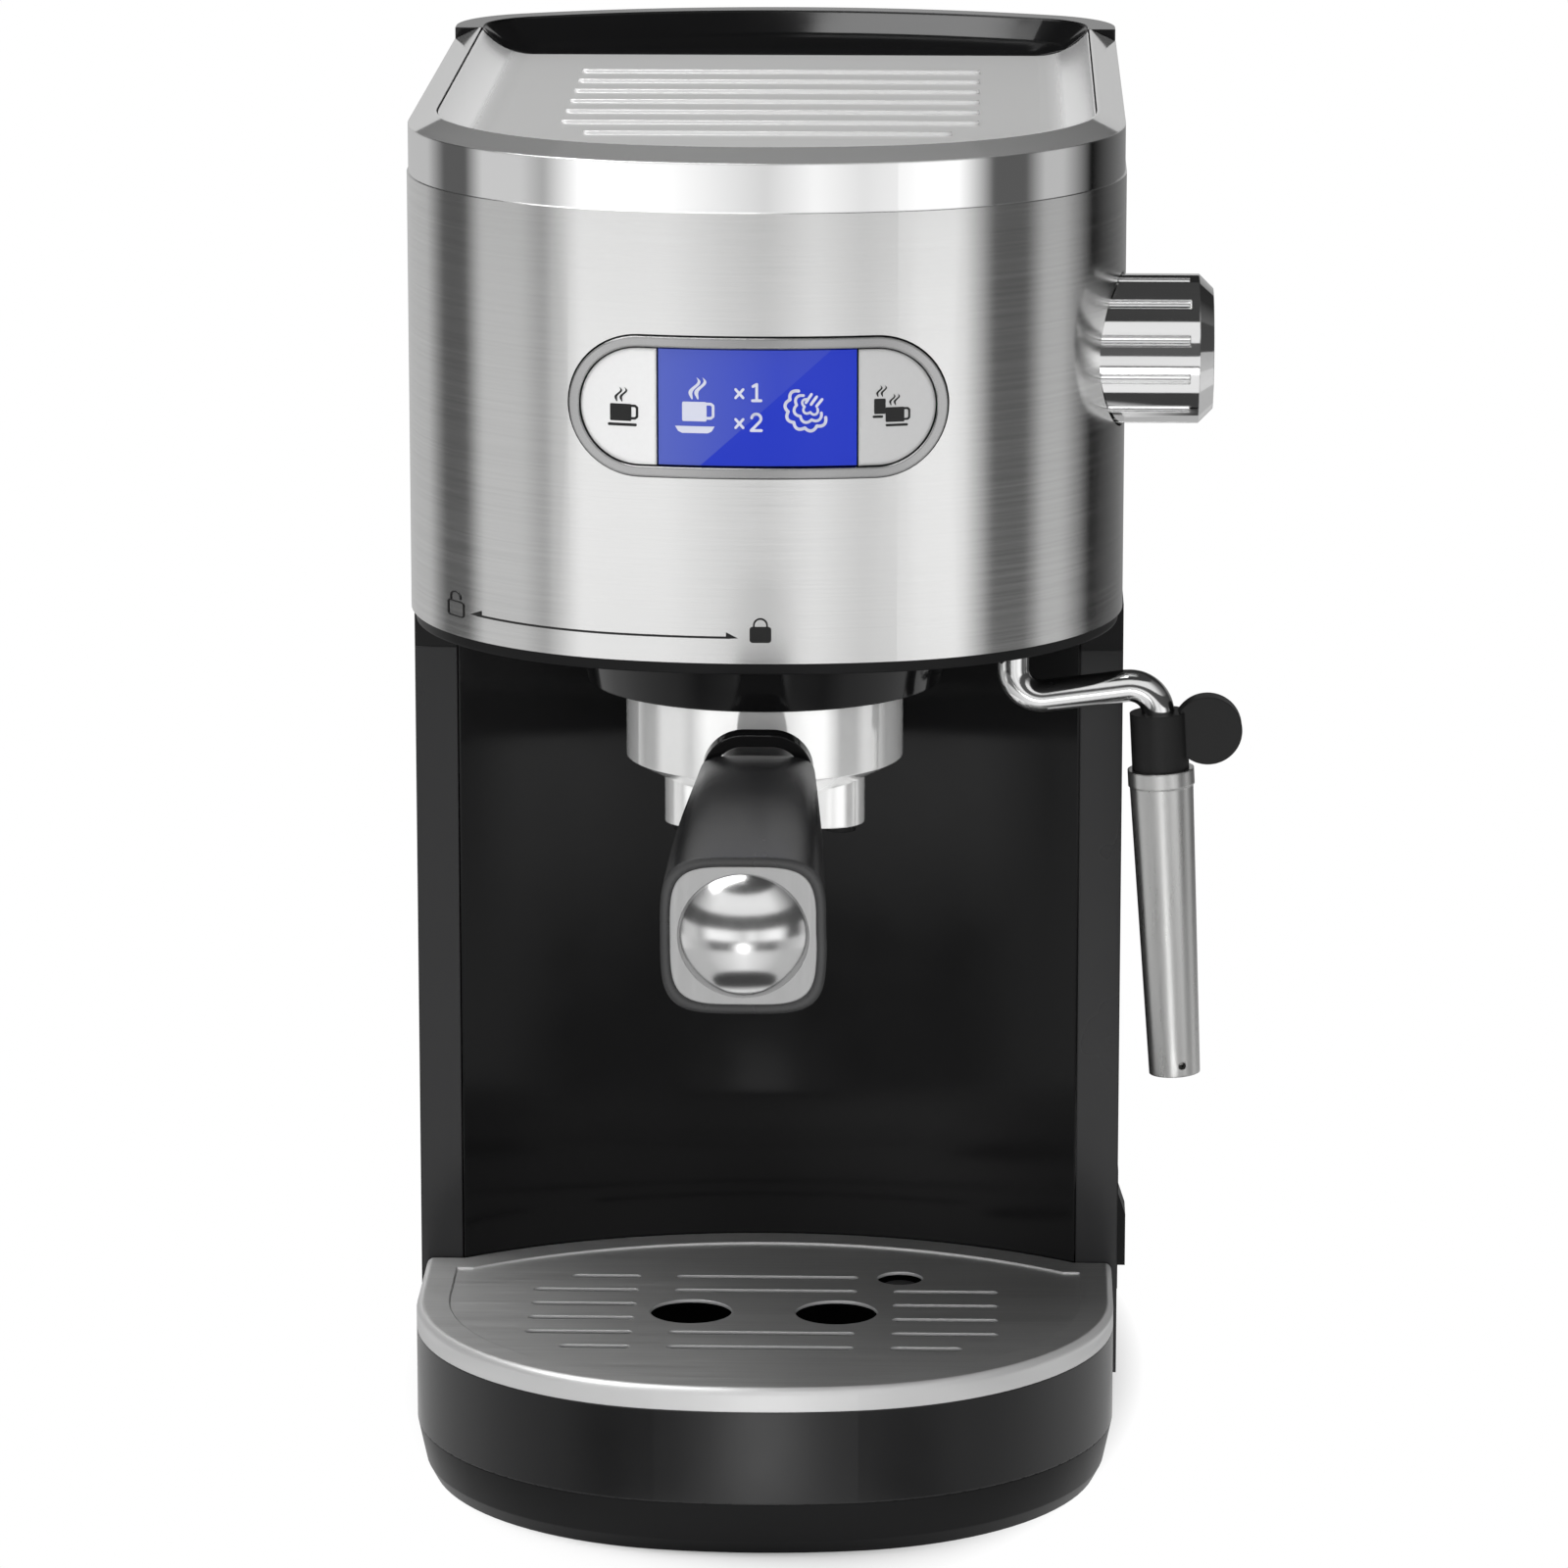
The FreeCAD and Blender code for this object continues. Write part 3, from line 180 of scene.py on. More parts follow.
def relief(tree, bsdf, source, strength, distance, edge):
    bump = add(tree, "ShaderNodeBump")
    bump.inputs["Strength"].default_value = strength
    bump.inputs["Distance"].default_value = distance
    tree.links.new(source, bump.inputs["Height"])
    if edge > 0:
        rounding = add(tree, "ShaderNodeBevel", samples=4)
        rounding.inputs["Radius"].default_value = edge
        tree.links.new(rounding.outputs["Normal"], bump.inputs["Normal"])
    tree.links.new(bump.outputs["Normal"], bsdf.inputs["Normal"])


def tint(colour, factor):
    return tuple(channel * factor for channel in colour)


# A moulded finish: fine grain in the relief, broad changes in the gloss
def moulded(name, colour, roughness, grain_pitch=0.0007, depth=0.00002, edge=0.0005, change=0.12,
            swing=0.05, **sockets):
    material, tree, bsdf = new_material(name)
    fine = grain(tree, (1 / grain_pitch,) * 3)
    broad = grain(tree, broad_grain, detail=4.0)
    shade = shades(tree, broad, tint(colour, 1 - change), tint(colour, 1 + change))
    tree.links.new(shade, bsdf.inputs["Base Color"])
    tree.links.new(spread(tree, broad, roughness - swing, roughness + swing), bsdf.inputs["Roughness"])
    relief(tree, bsdf, fine, moulded_relief, depth, edge)
    for socket, value in sockets.items():
        bsdf.inputs[socket.replace("_", " ")].default_value = value
    return material


# Slopes, such as the sides of ribs, can differ from flats: limits are the upward shares of their normals
def by_slope(tree, on_slope, on_flat, limits, kind="FLOAT"):
    facing = add(tree, "ShaderNodeNewGeometry")
    split = add(tree, "ShaderNodeSeparateXYZ")
    tree.links.new(facing.outputs["Normal"], split.inputs["Vector"])
    mix = add(tree, "ShaderNodeMix", data_type=kind)
    mix.inputs["A"].default_value = on_slope
    tree.links.new(spread(tree, split.outputs["Z"], 0.0, 1.0, *limits), mix.inputs["Factor"])
    tree.links.new(on_flat, mix.inputs["B"])
    return mix.outputs["Result"]


# A metal with drawn lines: scale is grain per metre on each axis, slope is the slopes' (gloss, metal,
# tone); a slope tone lighter than the colour is a painted highlight
def drawn(name, colour, roughness, scale, change=0.06, swing=0.05, depth=0.000012, edge=0.0004, turn=None,
          pull=0.0, metal=1.0, slope=None, limits=(0.93, 0.995), axis="Z"):
    material, tree, bsdf = new_material(name)
    lines = grain(tree, scale, detail=4.0, roughness=0.7)
    gloss = spread(tree, lines, roughness - swing, roughness + swing)
    shade = shades(tree, lines, tint(colour, 1 - change), tint(colour, 1 + change))
    bsdf.inputs["Metallic"].default_value = metal
    if slope is not None:
        slope_gloss, slope_metal, slope_highlight_tone = slope
        gloss = by_slope(tree, slope_gloss, gloss, limits)
        # Painted highlight: a slope tone lighter than the colour brightens the sides of ribs and slots
        shade = by_slope(tree, (slope_highlight_tone, slope_highlight_tone, slope_highlight_tone, 1.0), shade, limits, "RGBA")
        flat_metal = spread(tree, lines, metal - metal_swing, metal)
        tree.links.new(by_slope(tree, slope_metal, flat_metal, limits), bsdf.inputs["Metallic"])
    tree.links.new(shade, bsdf.inputs["Base Color"])
    tree.links.new(gloss, bsdf.inputs["Roughness"])
    relief(tree, bsdf, lines, drawn_relief, depth, edge)
    if turn is not None:
        bsdf.inputs["Anisotropic"].default_value = pull
        bsdf.inputs["Anisotropic Rotation"].default_value = turn
        along = add(tree, "ShaderNodeTangent", direction_type="RADIAL", axis=axis)
        tree.links.new(along.outputs["Tangent"], bsdf.inputs["Tangent"])
    return material


def display_material():
    material, tree, bsdf = new_material("display_blue")
    place = add(tree, "ShaderNodeTexCoord")
    split = add(tree, "ShaderNodeSeparateXYZ")
    tree.links.new(place.outputs["Object"], split.inputs["Vector"])
    slant = add(tree, "ShaderNodeMath", operation="MULTIPLY")
    slant.inputs[1].default_value = reflection_slope
    tree.links.new(split.outputs["Z"], slant.inputs[0])
    side = add(tree, "ShaderNodeMath", operation="SUBTRACT")
    tree.links.new(split.outputs["X"], side.inputs[0])
    tree.links.new(slant.outputs["Value"], side.inputs[1])
    # Painted reflection: the glass turns lighter and greyer left of a slanted edge and fades to the right;
    # the glow colour carries it too
    edge = reflection_x - reflection_slope * reflection_z
    painted_reflection = spread(tree, side.outputs["Value"], 1.0, 0.0, edge - reflection_blur, edge + reflection_blur)
    fade = spread(tree, split.outputs["X"], reflection_most, reflection_least, reflection_left, reflection_right)
    amount = add(tree, "ShaderNodeMath", operation="MULTIPLY")
    tree.links.new(painted_reflection, amount.inputs[0])
    tree.links.new(fade, amount.inputs[1])
    mix = add(tree, "ShaderNodeMix", data_type="RGBA")
    mix.inputs["A"].default_value = (0.006, 0.022, 0.36, 1.0)
    mix.inputs["B"].default_value = (0.16, 0.20, 0.32, 1.0)
    tree.links.new(amount.outputs["Value"], mix.inputs["Factor"])
    tree.links.new(mix.outputs["Result"], bsdf.inputs["Base Color"])
    tree.links.new(mix.outputs["Result"], bsdf.inputs["Emission Color"])
    bsdf.inputs["Emission Strength"].default_value = 0.20
    bsdf.inputs["Specular IOR Level"].default_value = 0.25
    smear = grain(tree, (60.0, 60.0, 60.0))
    tree.links.new(spread(tree, smear, 0.10, 0.16), bsdf.inputs["Roughness"])
    return material


def smoked_material():
    material, tree, bsdf = new_material("smoked_tank")
    broad = grain(tree, (20.0, 20.0, 20.0), detail=4.0)
    shade = shades(tree, broad, (0.055, 0.055, 0.060), (0.070, 0.070, 0.076))
    tree.links.new(shade, bsdf.inputs["Base Color"])
    tree.links.new(spread(tree, broad, 0.03, 0.07), bsdf.inputs["Roughness"])
    bsdf.inputs["Transmission Weight"].default_value = 0.85
    bsdf.inputs["IOR"].default_value = 1.49
    return material


polish = {"change": 0.02, "swing": 0.02, "depth": 0.000002}
smooth = {"grain_pitch": 0.004, "depth": 0.000004}
button = {"change": 0.015, "swing": 0.02, "depth": 0.000003, "edge": 0.0012}
fine_grain = (900.0, 900.0, 900.0)
even_grain = (300.0, 300.0, 300.0)
cast_grain = (200.0, 200.0, 200.0)
finishes = {
    "satin_black": moulded("satin_black", (0.006, 0.006, 0.0063), 0.40, Specular_IOR_Level=0.22),
    "gloss_black": moulded("gloss_black", (0.004, 0.004, 0.0042), 0.10, Specular_IOR_Level=0.4, **smooth),
    "smoked_tank": smoked_material(),
    "brushed_wrap": drawn("brushed_wrap", (0.84, 0.84, 0.835), 0.17, (16.0, 16.0, 1500.0), change=0.06,
                          swing=0.025, depth=0.0000025, edge=0.0, turn=0.25, pull=0.7),
    # The plate's slope tone, lighter than its colour, is a painted highlight along the slots
    "brushed_plate": drawn("brushed_plate", (0.56, 0.56, 0.556), 0.46, (26.0, 2600.0, 2600.0), change=0.10,
                           turn=0.0, pull=0.6, slope=(0.40, 0.60, 0.64), axis="X"),
    "satin_steel": drawn("satin_steel", (0.74, 0.74, 0.73), 0.30, (600.0, 600.0, 30.0), change=0.03,
                         edge=0.0006),
    "polished_band": drawn("polished_band", (0.95, 0.95, 0.945), 0.08, (22.0, 22.0, 1800.0), turn=0.25,
                           pull=0.5, metal=0.85, slope=(0.08, 1.0, 0.95), limits=(0.2, 0.5), **polish),
    "chrome": drawn("chrome", (0.84, 0.84, 0.84), 0.07, even_grain, edge=0.0005, **polish),
    "silver_button": drawn("silver_button", (0.66, 0.66, 0.66), 0.34, fine_grain, metal=0.7, **button),
    "display_blue": moulded("display_module", (0.010, 0.030, 0.50), 0.3),
    "display_glass": display_material(),
    "handle_black": moulded("handle_black", (0.014, 0.014, 0.0146), 0.27, edge=0.0012),
    "black_rubber": moulded("black_rubber", (0.008, 0.008, 0.008), 0.50, grain_pitch=0.0005, depth=0.00004,
                            Specular_IOR_Level=0.35),
    "clear_hose": moulded("clear_hose", (0.62, 0.62, 0.60), 0.30, Transmission_Weight=0.4),
    "cast_aluminium": drawn("cast_aluminium", (0.55, 0.55, 0.56), 0.45, fine_grain, change=0.12),
    "valve_brass": drawn("valve_brass", (0.60, 0.42, 0.17), 0.30, (700.0, 700.0, 700.0), change=0.10),
    "board_green": moulded("board_green", (0.02, 0.13, 0.05), 0.35),
    "white_plastic": moulded("white_plastic", (0.66, 0.66, 0.64), 0.40, change=0.04),
    "zinc_steel": drawn("zinc_steel", (0.56, 0.57, 0.58), 0.32, fine_grain, change=0.10),
}
print_black = moulded("print_black", (0.008, 0.008, 0.008), 0.45, edge=0.0)
print_lavender = moulded("print_lavender", (0.40, 0.41, 0.48), 0.40, edge=0.0, change=0.03,
                         Emission_Color=(0.50, 0.52, 0.62, 1.0), Emission_Strength=0.3)

# Nodes whose finish differs from their slot's, and the left button, whose lighter copy of the button finish
# is painted light
special = {
    "panel_bezel": drawn("bezel_silver", (0.43, 0.43, 0.43), 0.18, (40.0, 40.0, 1800.0), change=0.02,
                         swing=0.02, depth=0.000003, edge=0.0006),
    # Painted light: the left button is a lighter copy of the silver button finish, where more light falls
    "button_left": drawn("button_painted_light", (0.90, 0.90, 0.90), 0.30, fine_grain, metal=0.65, **button),
    "steam_knob": drawn("knob_chrome", (0.90, 0.90, 0.90), 0.06, (40.0, 1500.0, 1500.0), **polish),
    "column_front_panel": moulded("column_black", (0.006, 0.006, 0.0062), 0.12, Specular_IOR_Level=0.25,
                                  **smooth),
    "column_shell": moulded("pillar_black", (0.012, 0.012, 0.0126), 0.30, Specular_IOR_Level=0.4),
    # Polished, more metallic rib sides, with a painted highlight in their much lighter slope tone
    "cup_warmer": drawn("dish_steel", (0.58, 0.58, 0.576), 0.45, (22.0, 1500.0, 1500.0), change=0.03,
                        metal=0.45, slope=(0.14, 0.6, 0.95)),
    "portafilter_basin": drawn("basin_chrome", (0.98, 0.98, 0.975), 0.09, cast_grain, metal=0.6, **polish),
    "spout_block": drawn("spout_chrome", (0.98, 0.98, 0.975), 0.09, cast_grain, metal=0.6, **polish),
    "group_shroud": moulded("shroud_black", (0.004, 0.004, 0.0042), 0.12, **smooth),
    "basket_clip": finishes["gloss_black"],
    "drip_tray": moulded("tray_black", (0.005, 0.005, 0.0053), 0.23),
    "base_shell": moulded("base_black", (0.004, 0.004, 0.0042), 0.34, Specular_IOR_Level=0.15),
    "handle_dome": drawn("dome_chrome", (0.90, 0.90, 0.90), 0.19, even_grain, **polish),
    "handle_frame": drawn("frame_silver", (0.34, 0.34, 0.34), 0.36, (1500.0, 40.0, 40.0), change=0.03,
                          metal=0.6),
}
for row in frame["record"]["subparts"]:
    node = nodes[row["node"]]
    finish = special.get(row["node"], finishes[row["material_slot"]])
    node.data.materials.clear()
    node.data.materials.append(finish)


# Flat marks laid on the curved skin: each shape is an outline of (x, z) points in millimetres
def skin_y(x, proud):
    reach = abs(x)
    if reach <= corner_touch:
        return bow_centre - math.sqrt((bow_radius + proud) ** 2 - reach ** 2)
    return corner_y - math.sqrt((corner_radius + proud) ** 2 - (reach - corner_x) ** 2)


def lay_marks(name, shapes, proud, finish, body):
    mesh = bmesh.new()
    for outline in shapes:
        front = [mesh.verts.new(Vector((x, skin_y(x, proud + mark_height), z)) * MM) for x, z in outline]
        back = [mesh.verts.new(Vector((x, skin_y(x, proud - mark_root), z)) * MM) for x, z in outline]
        mesh.faces.new(front)
        mesh.faces.new(list(reversed(back)))
        for i in range(len(outline)):
            j = (i + 1) % len(outline)
            mesh.faces.new((front[j], front[i], back[i], back[j]))
    bmesh.ops.recalc_face_normals(mesh, faces=mesh.faces)
    data = bpy.data.meshes.new(name)
    mesh.to_mesh(data)
    mesh.free()
    data.materials.append(finish)
    piece = bpy.data.objects.new(name, data)
    bpy.context.collection.objects.link(piece)
    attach(piece, body)


# A stroke along points, as one short outline per leg, with round joints
def stroke(points, width):
    shapes = []
    for first, last in zip(points, points[1:]):
        start = Vector(first)
        end = Vector(last)
        along = (end - start).normalized()
        across = Vector((-along.y, along.x)) * width / 2
        corners = (start - across, end - across, end + across, start + across)
        shapes.append([tuple(corner) for corner in corners])
    for point in points:
        shapes.append(disc(point, width / 2, 10))
    return shapes


def disc(centre, radius, count=24):
    angles = [i * 2 * math.pi / count for i in range(count)]
    return [(centre[0] + radius * math.cos(a), centre[1] + radius * math.sin(a)) for a in angles]


def bow(centre, radius, start, end, count=12):
    angles = [math.radians(start + (end - start) * i / count) for i in range(count + 1)]
    return [(centre[0] + radius * math.cos(a), centre[1] + radius * math.sin(a)) for a in angles]


def moved(shapes, x, z, size=1.0):
    return [[(x + px * size, z + pz * size) for px, pz in outline] for outline in shapes]


def soft_box(x0, x1, z0, z1, radius):
    corners = ((x1 - radius, z1 - radius, 0), (x0 + radius, z1 - radius, 90),
               (x0 + radius, z0 + radius, 180), (x1 - radius, z0 + radius, 270))
    outline = []
    for cx, cz, start in corners:
        outline.extend(bow((cx, cz), radius, start, start + 90, 5))
    return outline


# A wisp of steam: a leaf with two bends, drawn as one outline
def wisp(x, z, height, width):
    left = []
    right = []
    count = 14
    for i in range(count + 1):
        t = i / count
        bend = 0.22 * height * math.sin(2.2 * math.pi * t + 2.6) * (0.35 + 0.5 * t)
        middle = x + bend + 0.25 * height * t
        half = width / 2 * math.sin(math.pi * min(0.06 + t * 0.94, 1.0)) ** 0.8
        left.append((middle - half, z + height * t))
        right.append((middle + half, z + height * t))
    return right + left[::-1]


# A cup with its handle, saucer and two wisps, about 5.6 wide
def cup(saucer, steam, rise):
    shapes = [soft_box(-2.1, 1.65, -1.5, 1.5, 0.22)]
    handle = [(1.6, 1.2), (2.3, 1.2), (2.65, 0.9), (2.65, -0.7), (2.3, -1.0), (1.6, -1.0)]
    shapes.extend(stroke(handle, 0.42))
    if saucer:
        shapes.append(soft_box(saucer[0], saucer[1], -2.4, -1.9, 0.24))
    for shift in steam:
        shapes.append(wisp(shift, 1.9, rise, 0.2 * rise))
    return shapes


def figure_one(x, z, size):
    shapes = stroke([(-0.35, 0.62), (0.05, 0.85), (0.05, -0.9)], 0.3)
    shapes.extend(stroke([(-0.4, -0.9), (0.5, -0.9)], 0.3))
    return moved(shapes, x, z, size)


def figure_two(x, z, size):
    top = bow((0.0, 0.38), 0.5, 170, -40, 10)
    shapes = stroke(top + [(-0.55, -0.9), (0.55, -0.9)], 0.3)
    return moved(shapes, x, z, size)


def times_sign(x, z, size):
    shapes = stroke([(-0.4, 0.45), (0.4, -0.45)], 0.28)
    shapes.extend(stroke([(-0.4, -0.45), (0.4, 0.45)], 0.28))
    return moved(shapes, x, z, size)


# A cloud of steam: three scalloped bows and three short rays
def cloud(x, z, size):
    shapes = []
    for step, (radius, lobes) in enumerate(((3.5, 6), (2.3, 4), (1.2, 3))):
        points = []
        count = lobes * 7
        for i in range(count + 1):
            t = i / count
            angle = math.radians(118 + 214 * t)
            swell = radius + 0.55 * abs(math.sin(lobes * math.pi * t))
            points.append((swell * math.cos(angle) + 0.3 * step, swell * math.sin(angle) + 0.25 * step))
        shapes.extend(stroke(points, 0.55 - 0.06 * step))
    for shift in (-0.35, 0.55, 1.5):
        shapes.extend(stroke([(shift, 0.9 - shift * 0.35), (shift + 0.95, 2.3 - shift * 0.5)], 0.5))
    return moved(shapes, x, z, size)


def padlock_closed(x, z):
    shapes = [soft_box(-2.2, 2.2, -2.5, 0.8, 0.6)]
    shapes.extend(stroke([(-1.35, 0.6)] + bow((0, 1.1), 1.35, 180, 0, 12) + [(1.35, 0.6)], 0.36))
    return moved(shapes, x, z)


def padlock_open(x, z):
    outline = soft_box(-1.75, 1.75, -2.5, 0.6, 0.5)
    shapes = stroke(outline + outline[:1], 0.26)
    shapes.extend(stroke([(-1.1, 0.7)] + bow((-0.05, 1.5), 1.1, 180, -15, 12), 0.26))
    return moved(shapes, x, z)


line_start = lock_line_left + lock_line_inset
line_span = lock_line_right - lock_line_left - 2 * lock_line_inset
shares = [i / lock_line_steps for i in range(lock_line_steps + 1)]
lock_marks = stroke([(line_start + line_span * share, lock_line_z) for share in shares], lock_line_width)
for tip, back in ((lock_line_left, arrow_length), (lock_line_right, -arrow_length)):
    head = [(tip, lock_line_z - arrow_nose), (tip + back, lock_line_z - arrow_drop),
            (tip + back, lock_line_z + arrow_rise)]
    lock_marks.append(head if back > 0 else [head[0], head[2], head[1]])
lock_marks.extend(padlock_closed(*closed_lock_place))
lock_marks.extend(padlock_open(*open_lock_place))
lay_marks("lock_marks", lock_marks, 0.0, print_black, "housing")

one_cup = moved(cup((-2.5, 2.6), (-1.0, -0.1), 2.5), *one_cup_place, one_cup_size)
lay_marks("one_cup_mark", one_cup, button_proud, print_black, "left_button_body")
rear_cup = [soft_box(-2.1, 0.2, -1.6, 1.5, 0.2), soft_box(-2.4, -0.3, -2.4, -1.9, 0.22),
            wisp(-1.4, 1.9, 2.3, 0.46), wisp(-0.5, 1.9, 2.3, 0.46)]
two_cups = moved(rear_cup, *rear_cup_place)
two_cups.extend(moved(cup((-2.1, 2.4), (-1.1, -0.2), 2.3), *front_cup_place))
lay_marks("two_cup_mark", two_cups, button_proud, print_black, "right_button_body")

display = moved(cup(None, (-0.7, 0.2), 3.4), *display_cup_place, display_cup_size)
saucer = [(-16.6, 233.2), (-8.6, 233.2), (-9.2, 232.2), (-10.0, 231.8), (-15.2, 231.8), (-16.0, 232.2)]
display.append(saucer)
display.extend(times_sign(*first_times_place, figure_size))
display.extend(figure_one(*first_figure_place, figure_size))
display.extend(times_sign(*second_times_place, figure_size))
display.extend(figure_two(*second_figure_place, figure_size))
display.extend(cloud(*cloud_place, cloud_size))
lay_marks("display_marks", display, window_proud, print_lavender, "housing")


# Studio: floor, reflection walls, world, lamps and camera
def disc_mesh(name, radius, count):
    mesh = bmesh.new()
    angles = [2 * math.pi * i / count for i in range(count)]
    rim = [mesh.verts.new((radius * math.cos(a), radius * math.sin(a), 0)) for a in angles]
    mesh.faces.new(rim)
    data = bpy.data.meshes.new(name)
    mesh.to_mesh(data)
    mesh.free()
    return data


def radial(tree):
    place = add(tree, "ShaderNodeTexCoord")
    flat = add(tree, "ShaderNodeVectorMath", operation="MULTIPLY")
    flat.inputs[1].default_value = floor_stretch
    size = add(tree, "ShaderNodeVectorMath", operation="LENGTH")
    tree.links.new(place.outputs["Object"], flat.inputs[0])
    tree.links.new(flat.outputs["Vector"], size.inputs[0])
    return size.outputs["Value"]


def make_floor():
    material, tree, bsdf = new_material("floor_white")
    bsdf.inputs["Base Color"].default_value = (0.92, 0.92, 0.92, 1.0)
    bsdf.inputs["Roughness"].default_value = 0.9
    bsdf.inputs["Specular IOR Level"].default_value = 0.1
    reach = radial(tree)
    glow = add(tree, "ShaderNodeEmission")
    glow.inputs["Color"].default_value = (1.0, 1.0, 1.0, 1.0)
    blend = add(tree, "ShaderNodeMixShader")
    tree.links.new(spread(tree, reach, 0.0, 1.0, shadow_start, shadow_end), blend.inputs["Fac"])
    tree.links.new(bsdf.outputs["BSDF"], blend.inputs[1])
    tree.links.new(glow.outputs["Emission"], blend.inputs[2])
    path = add(tree, "ShaderNodeLightPath")
    clear = add(tree, "ShaderNodeBsdfTransparent")
    away = spread(tree, reach, 0.0, 1.0, glossy_floor_radius, glossy_floor_radius + glossy_floor_fade)
    seen = add(tree, "ShaderNodeMath", operation="MULTIPLY")
    tree.links.new(path.outputs["Is Glossy Ray"], seen.inputs[0])
    tree.links.new(away, seen.inputs[1])
    cut = add(tree, "ShaderNodeMixShader")
    tree.links.new(seen.outputs["Value"], cut.inputs["Fac"])
    tree.links.new(blend.outputs["Shader"], cut.inputs[1])
    tree.links.new(clear.outputs["BSDF"], cut.inputs[2])
    tree.links.new(cut.outputs["Shader"], tree.nodes["Material Output"].inputs["Surface"])
    data = disc_mesh("floor", floor_radius, round_sides)
    data.materials.append(material)
    floor = bpy.data.objects.new("floor", data)
    bpy.context.collection.objects.link(floor)


# What the metal sees around it: brightness by compass angle, 0 in front and growing to the right
# The low wall has five cards, a side card and a key on each hand and a strip between them, with dark gaps
low_tones = ((-180, 0.5), (-130, 0.5), (-115, 0.1), (-100, 0.1), (-90, 0.6), (-70, 0.6), (-60, 0.4),
             (-45, 1.1), (-20, 1.1), (0, 0.7), (10, 1.0), (20, 0.8), (35, 1.1), (50, 1.1), (65, 0.1),
             (80, 0.1), (90, 0.5), (100, 0.5), (120, 0.0), (180, 0.3))
foot_tones = ((-180, 0.45), (-60, 0.5), (0, 0.9), (60, 0.5), (180, 0.45))
tray_tones = ((-180, 0.5), (-100, 0.7), (-55, 0.4), (-40, 0.1), (-18, 0.2), (-8, 1.1), (-3, 3.2), (3, 3.2),
              (8, 1.1), (18, 0.2), (40, 0.1), (55, 0.4), (100, 0.7), (180, 0.5))
skirt_tones = ((-180, 0.5), (-100, 0.7), (-55, 0.45), (-40, 0.15), (40, 0.15), (55, 0.45), (100, 0.7),
               (180, 0.5))
gap_tones = ((-180, 0.55), (-150, 0.4), (-120, 0.05), (0, 0.1), (120, 0.05), (150, 0.3), (180, 0.55))
high_tones = ((-180, 0.02), (-120, 0.03), (-80, 0.3), (-45, 0.85), (45, 0.85), (80, 0.2), (120, 0.03),
              (180, 0.02))


def make_wall(name, low, high, tones):
    material, tree = new_material(name)[:2]
    place = add(tree, "ShaderNodeTexCoord")
    split = add(tree, "ShaderNodeSeparateXYZ")
    tree.links.new(place.outputs["Object"], split.inputs["Vector"])
    ahead = add(tree, "ShaderNodeMath", operation="MULTIPLY")
    ahead.inputs[1].default_value = -1.0
    tree.links.new(split.outputs["Y"], ahead.inputs[0])
    turn = add(tree, "ShaderNodeMath", operation="ARCTAN2")
    tree.links.new(split.outputs["X"], turn.inputs[0])
    tree.links.new(ahead.outputs["Value"], turn.inputs[1])
    angle = spread(tree, turn.outputs["Value"], 0.0, 1.0, -math.pi, math.pi)
    ramp = add(tree, "ShaderNodeValToRGB")
    stops = ramp.color_ramp.elements
    while len(stops) < len(tones):
        stops.new(0.5)
    for stop, (degrees, tone) in zip(stops, tones):
        stop.position = (degrees + 180) / 360
        stop.color = (tone, tone, tone, 1.0)
    tree.links.new(angle, ramp.inputs["Fac"])
    glow = add(tree, "ShaderNodeEmission")
    tree.links.new(ramp.outputs["Color"], glow.inputs["Color"])
    tree.links.new(glow.outputs["Emission"], tree.nodes["Material Output"].inputs["Surface"])
    mesh = bmesh.new()
    angles = [2 * math.pi * i / round_sides for i in range(round_sides)]
    rings = []
    for z in (low, high):
        points = [(wall_radius * math.sin(a), -wall_radius * math.cos(a), z) for a in angles]
        rings.append([mesh.verts.new(point) for point in points])
    for i in range(round_sides):
        j = (i + 1) % round_sides
        mesh.faces.new((rings[0][i], rings[0][j], rings[1][j], rings[1][i]))
    data = bpy.data.meshes.new(name)
    mesh.to_mesh(data)
    mesh.free()
    data.materials.append(material)
    wall = bpy.data.objects.new(name, data)
    bpy.context.collection.objects.link(wall)
    wall.visible_camera = False
    wall.visible_diffuse = False
    wall.visible_shadow = False
    wall.visible_transmission = False


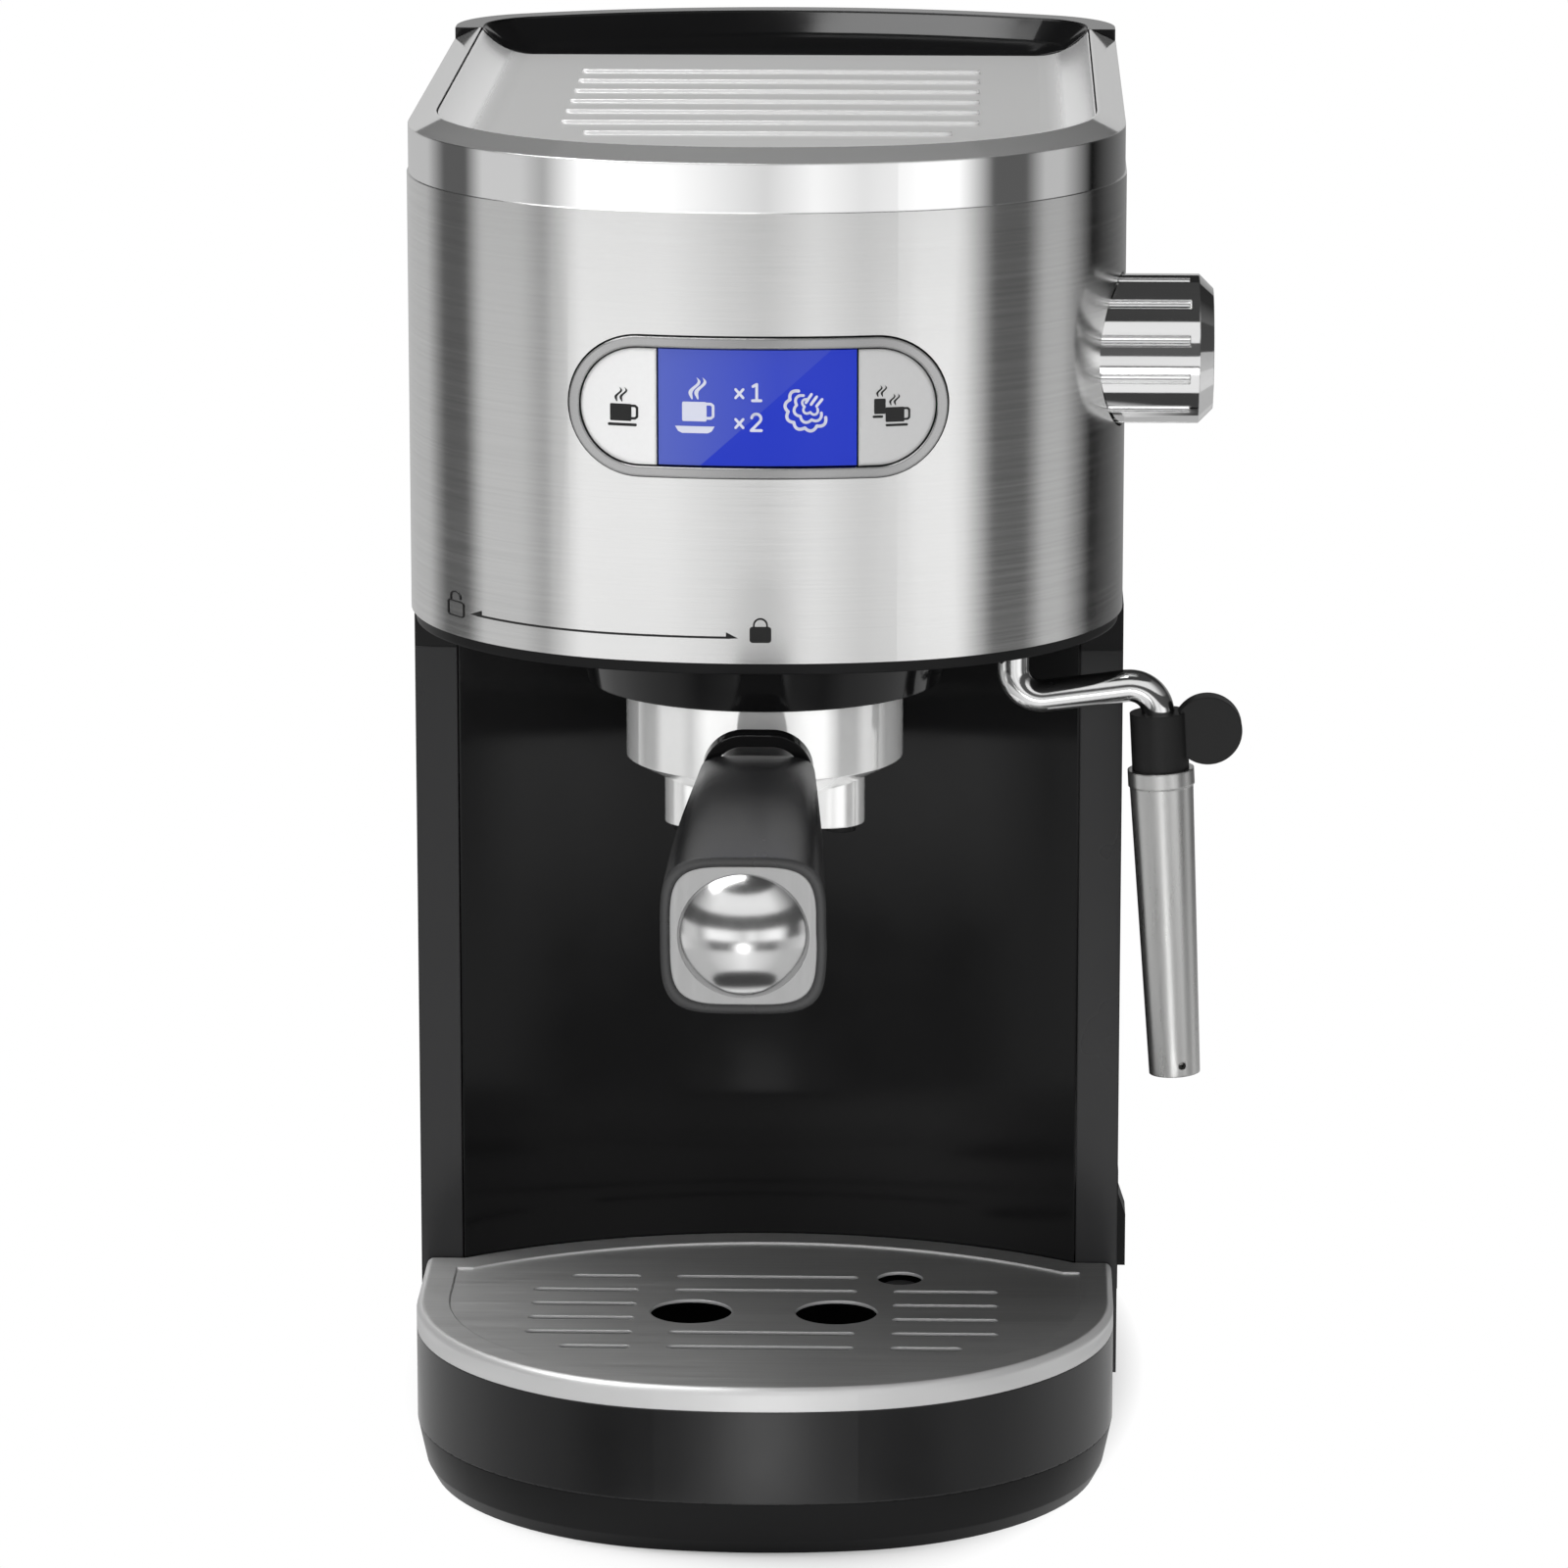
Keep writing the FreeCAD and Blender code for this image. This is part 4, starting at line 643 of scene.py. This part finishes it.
def make_world():
    world = bpy.data.worlds.new("studio")
    bpy.context.scene.world = world
    world.use_nodes = True
    tree = world.node_tree
    path = add(tree, "ShaderNodeLightPath")
    level = add(tree, "ShaderNodeMath", operation="MAXIMUM")
    tree.links.new(path.outputs["Is Camera Ray"], level.inputs[0])
    tree.links.new(path.outputs["Is Transmission Ray"], level.inputs[1])
    soft = tree.nodes["Background"]
    soft.inputs["Color"].default_value = (1.0, 1.0, 1.0, 1.0)
    soft.inputs["Strength"].default_value = diffuse_level
    dim = add(tree, "ShaderNodeBackground")
    dim.inputs["Color"].default_value = (1.0, 1.0, 1.0, 1.0)
    dim.inputs["Strength"].default_value = mirror_level
    white = add(tree, "ShaderNodeBackground")
    white.inputs["Color"].default_value = (1.0, 1.0, 1.0, 1.0)
    white.inputs["Strength"].default_value = backdrop_level
    mirror = add(tree, "ShaderNodeMixShader")
    tree.links.new(path.outputs["Is Glossy Ray"], mirror.inputs["Fac"])
    tree.links.new(soft.outputs["Background"], mirror.inputs[1])
    tree.links.new(dim.outputs["Background"], mirror.inputs[2])
    mix = add(tree, "ShaderNodeMixShader")
    tree.links.new(level.outputs["Value"], mix.inputs["Fac"])
    tree.links.new(mirror.outputs["Shader"], mix.inputs[1])
    tree.links.new(white.outputs["Background"], mix.inputs[2])
    tree.links.new(mix.outputs["Shader"], tree.nodes["World Output"].inputs["Surface"])


def make_lamp(name, place, target, size, power):
    data = bpy.data.lights.new(name, "AREA")
    data.shape = "RECTANGLE"
    data.size = size[0]
    data.size_y = size[1]
    data.energy = power
    lamp = bpy.data.objects.new(name, data)
    lamp.visible_camera = False
    lamp.location = place
    lamp.rotation_euler = (Vector(target) - Vector(place)).to_track_quat("-Z", "Y").to_euler()
    bpy.context.collection.objects.link(lamp)
    return lamp


def make_camera():
    data = bpy.data.cameras.new("camera")
    data.sensor_width = 36.0
    data.lens = camera_lens
    data.clip_end = 20.0
    camera = bpy.data.objects.new("camera", data)
    camera.location = Vector(camera_place) * MM
    camera.rotation_euler = (math.radians(90 - camera_pitch), 0.0, math.radians(camera_yaw))
    bpy.context.collection.objects.link(camera)
    bpy.context.scene.camera = camera


make_floor()
make_wall("foot_wall", wall_foot, wall_tray, foot_tones)
make_wall("tray_wall", wall_tray, wall_skirt, tray_tones)
make_wall("skirt_wall", wall_skirt, wall_low, skirt_tones)
make_wall("low_wall", wall_low, wall_split, low_tones)
make_wall("gap_wall", wall_split, wall_gap_top, gap_tones)
make_wall("high_wall", wall_gap_top, wall_high, high_tones)
make_world()
make_lamp("top_light", top_place, top_target, top_size, top_power)
fill = make_lamp("front_fill", fill_place, fill_target, fill_size, fill_power)
fill.visible_glossy = False
make_camera()
bpy.context.scene.view_settings.view_transform = "Standard"
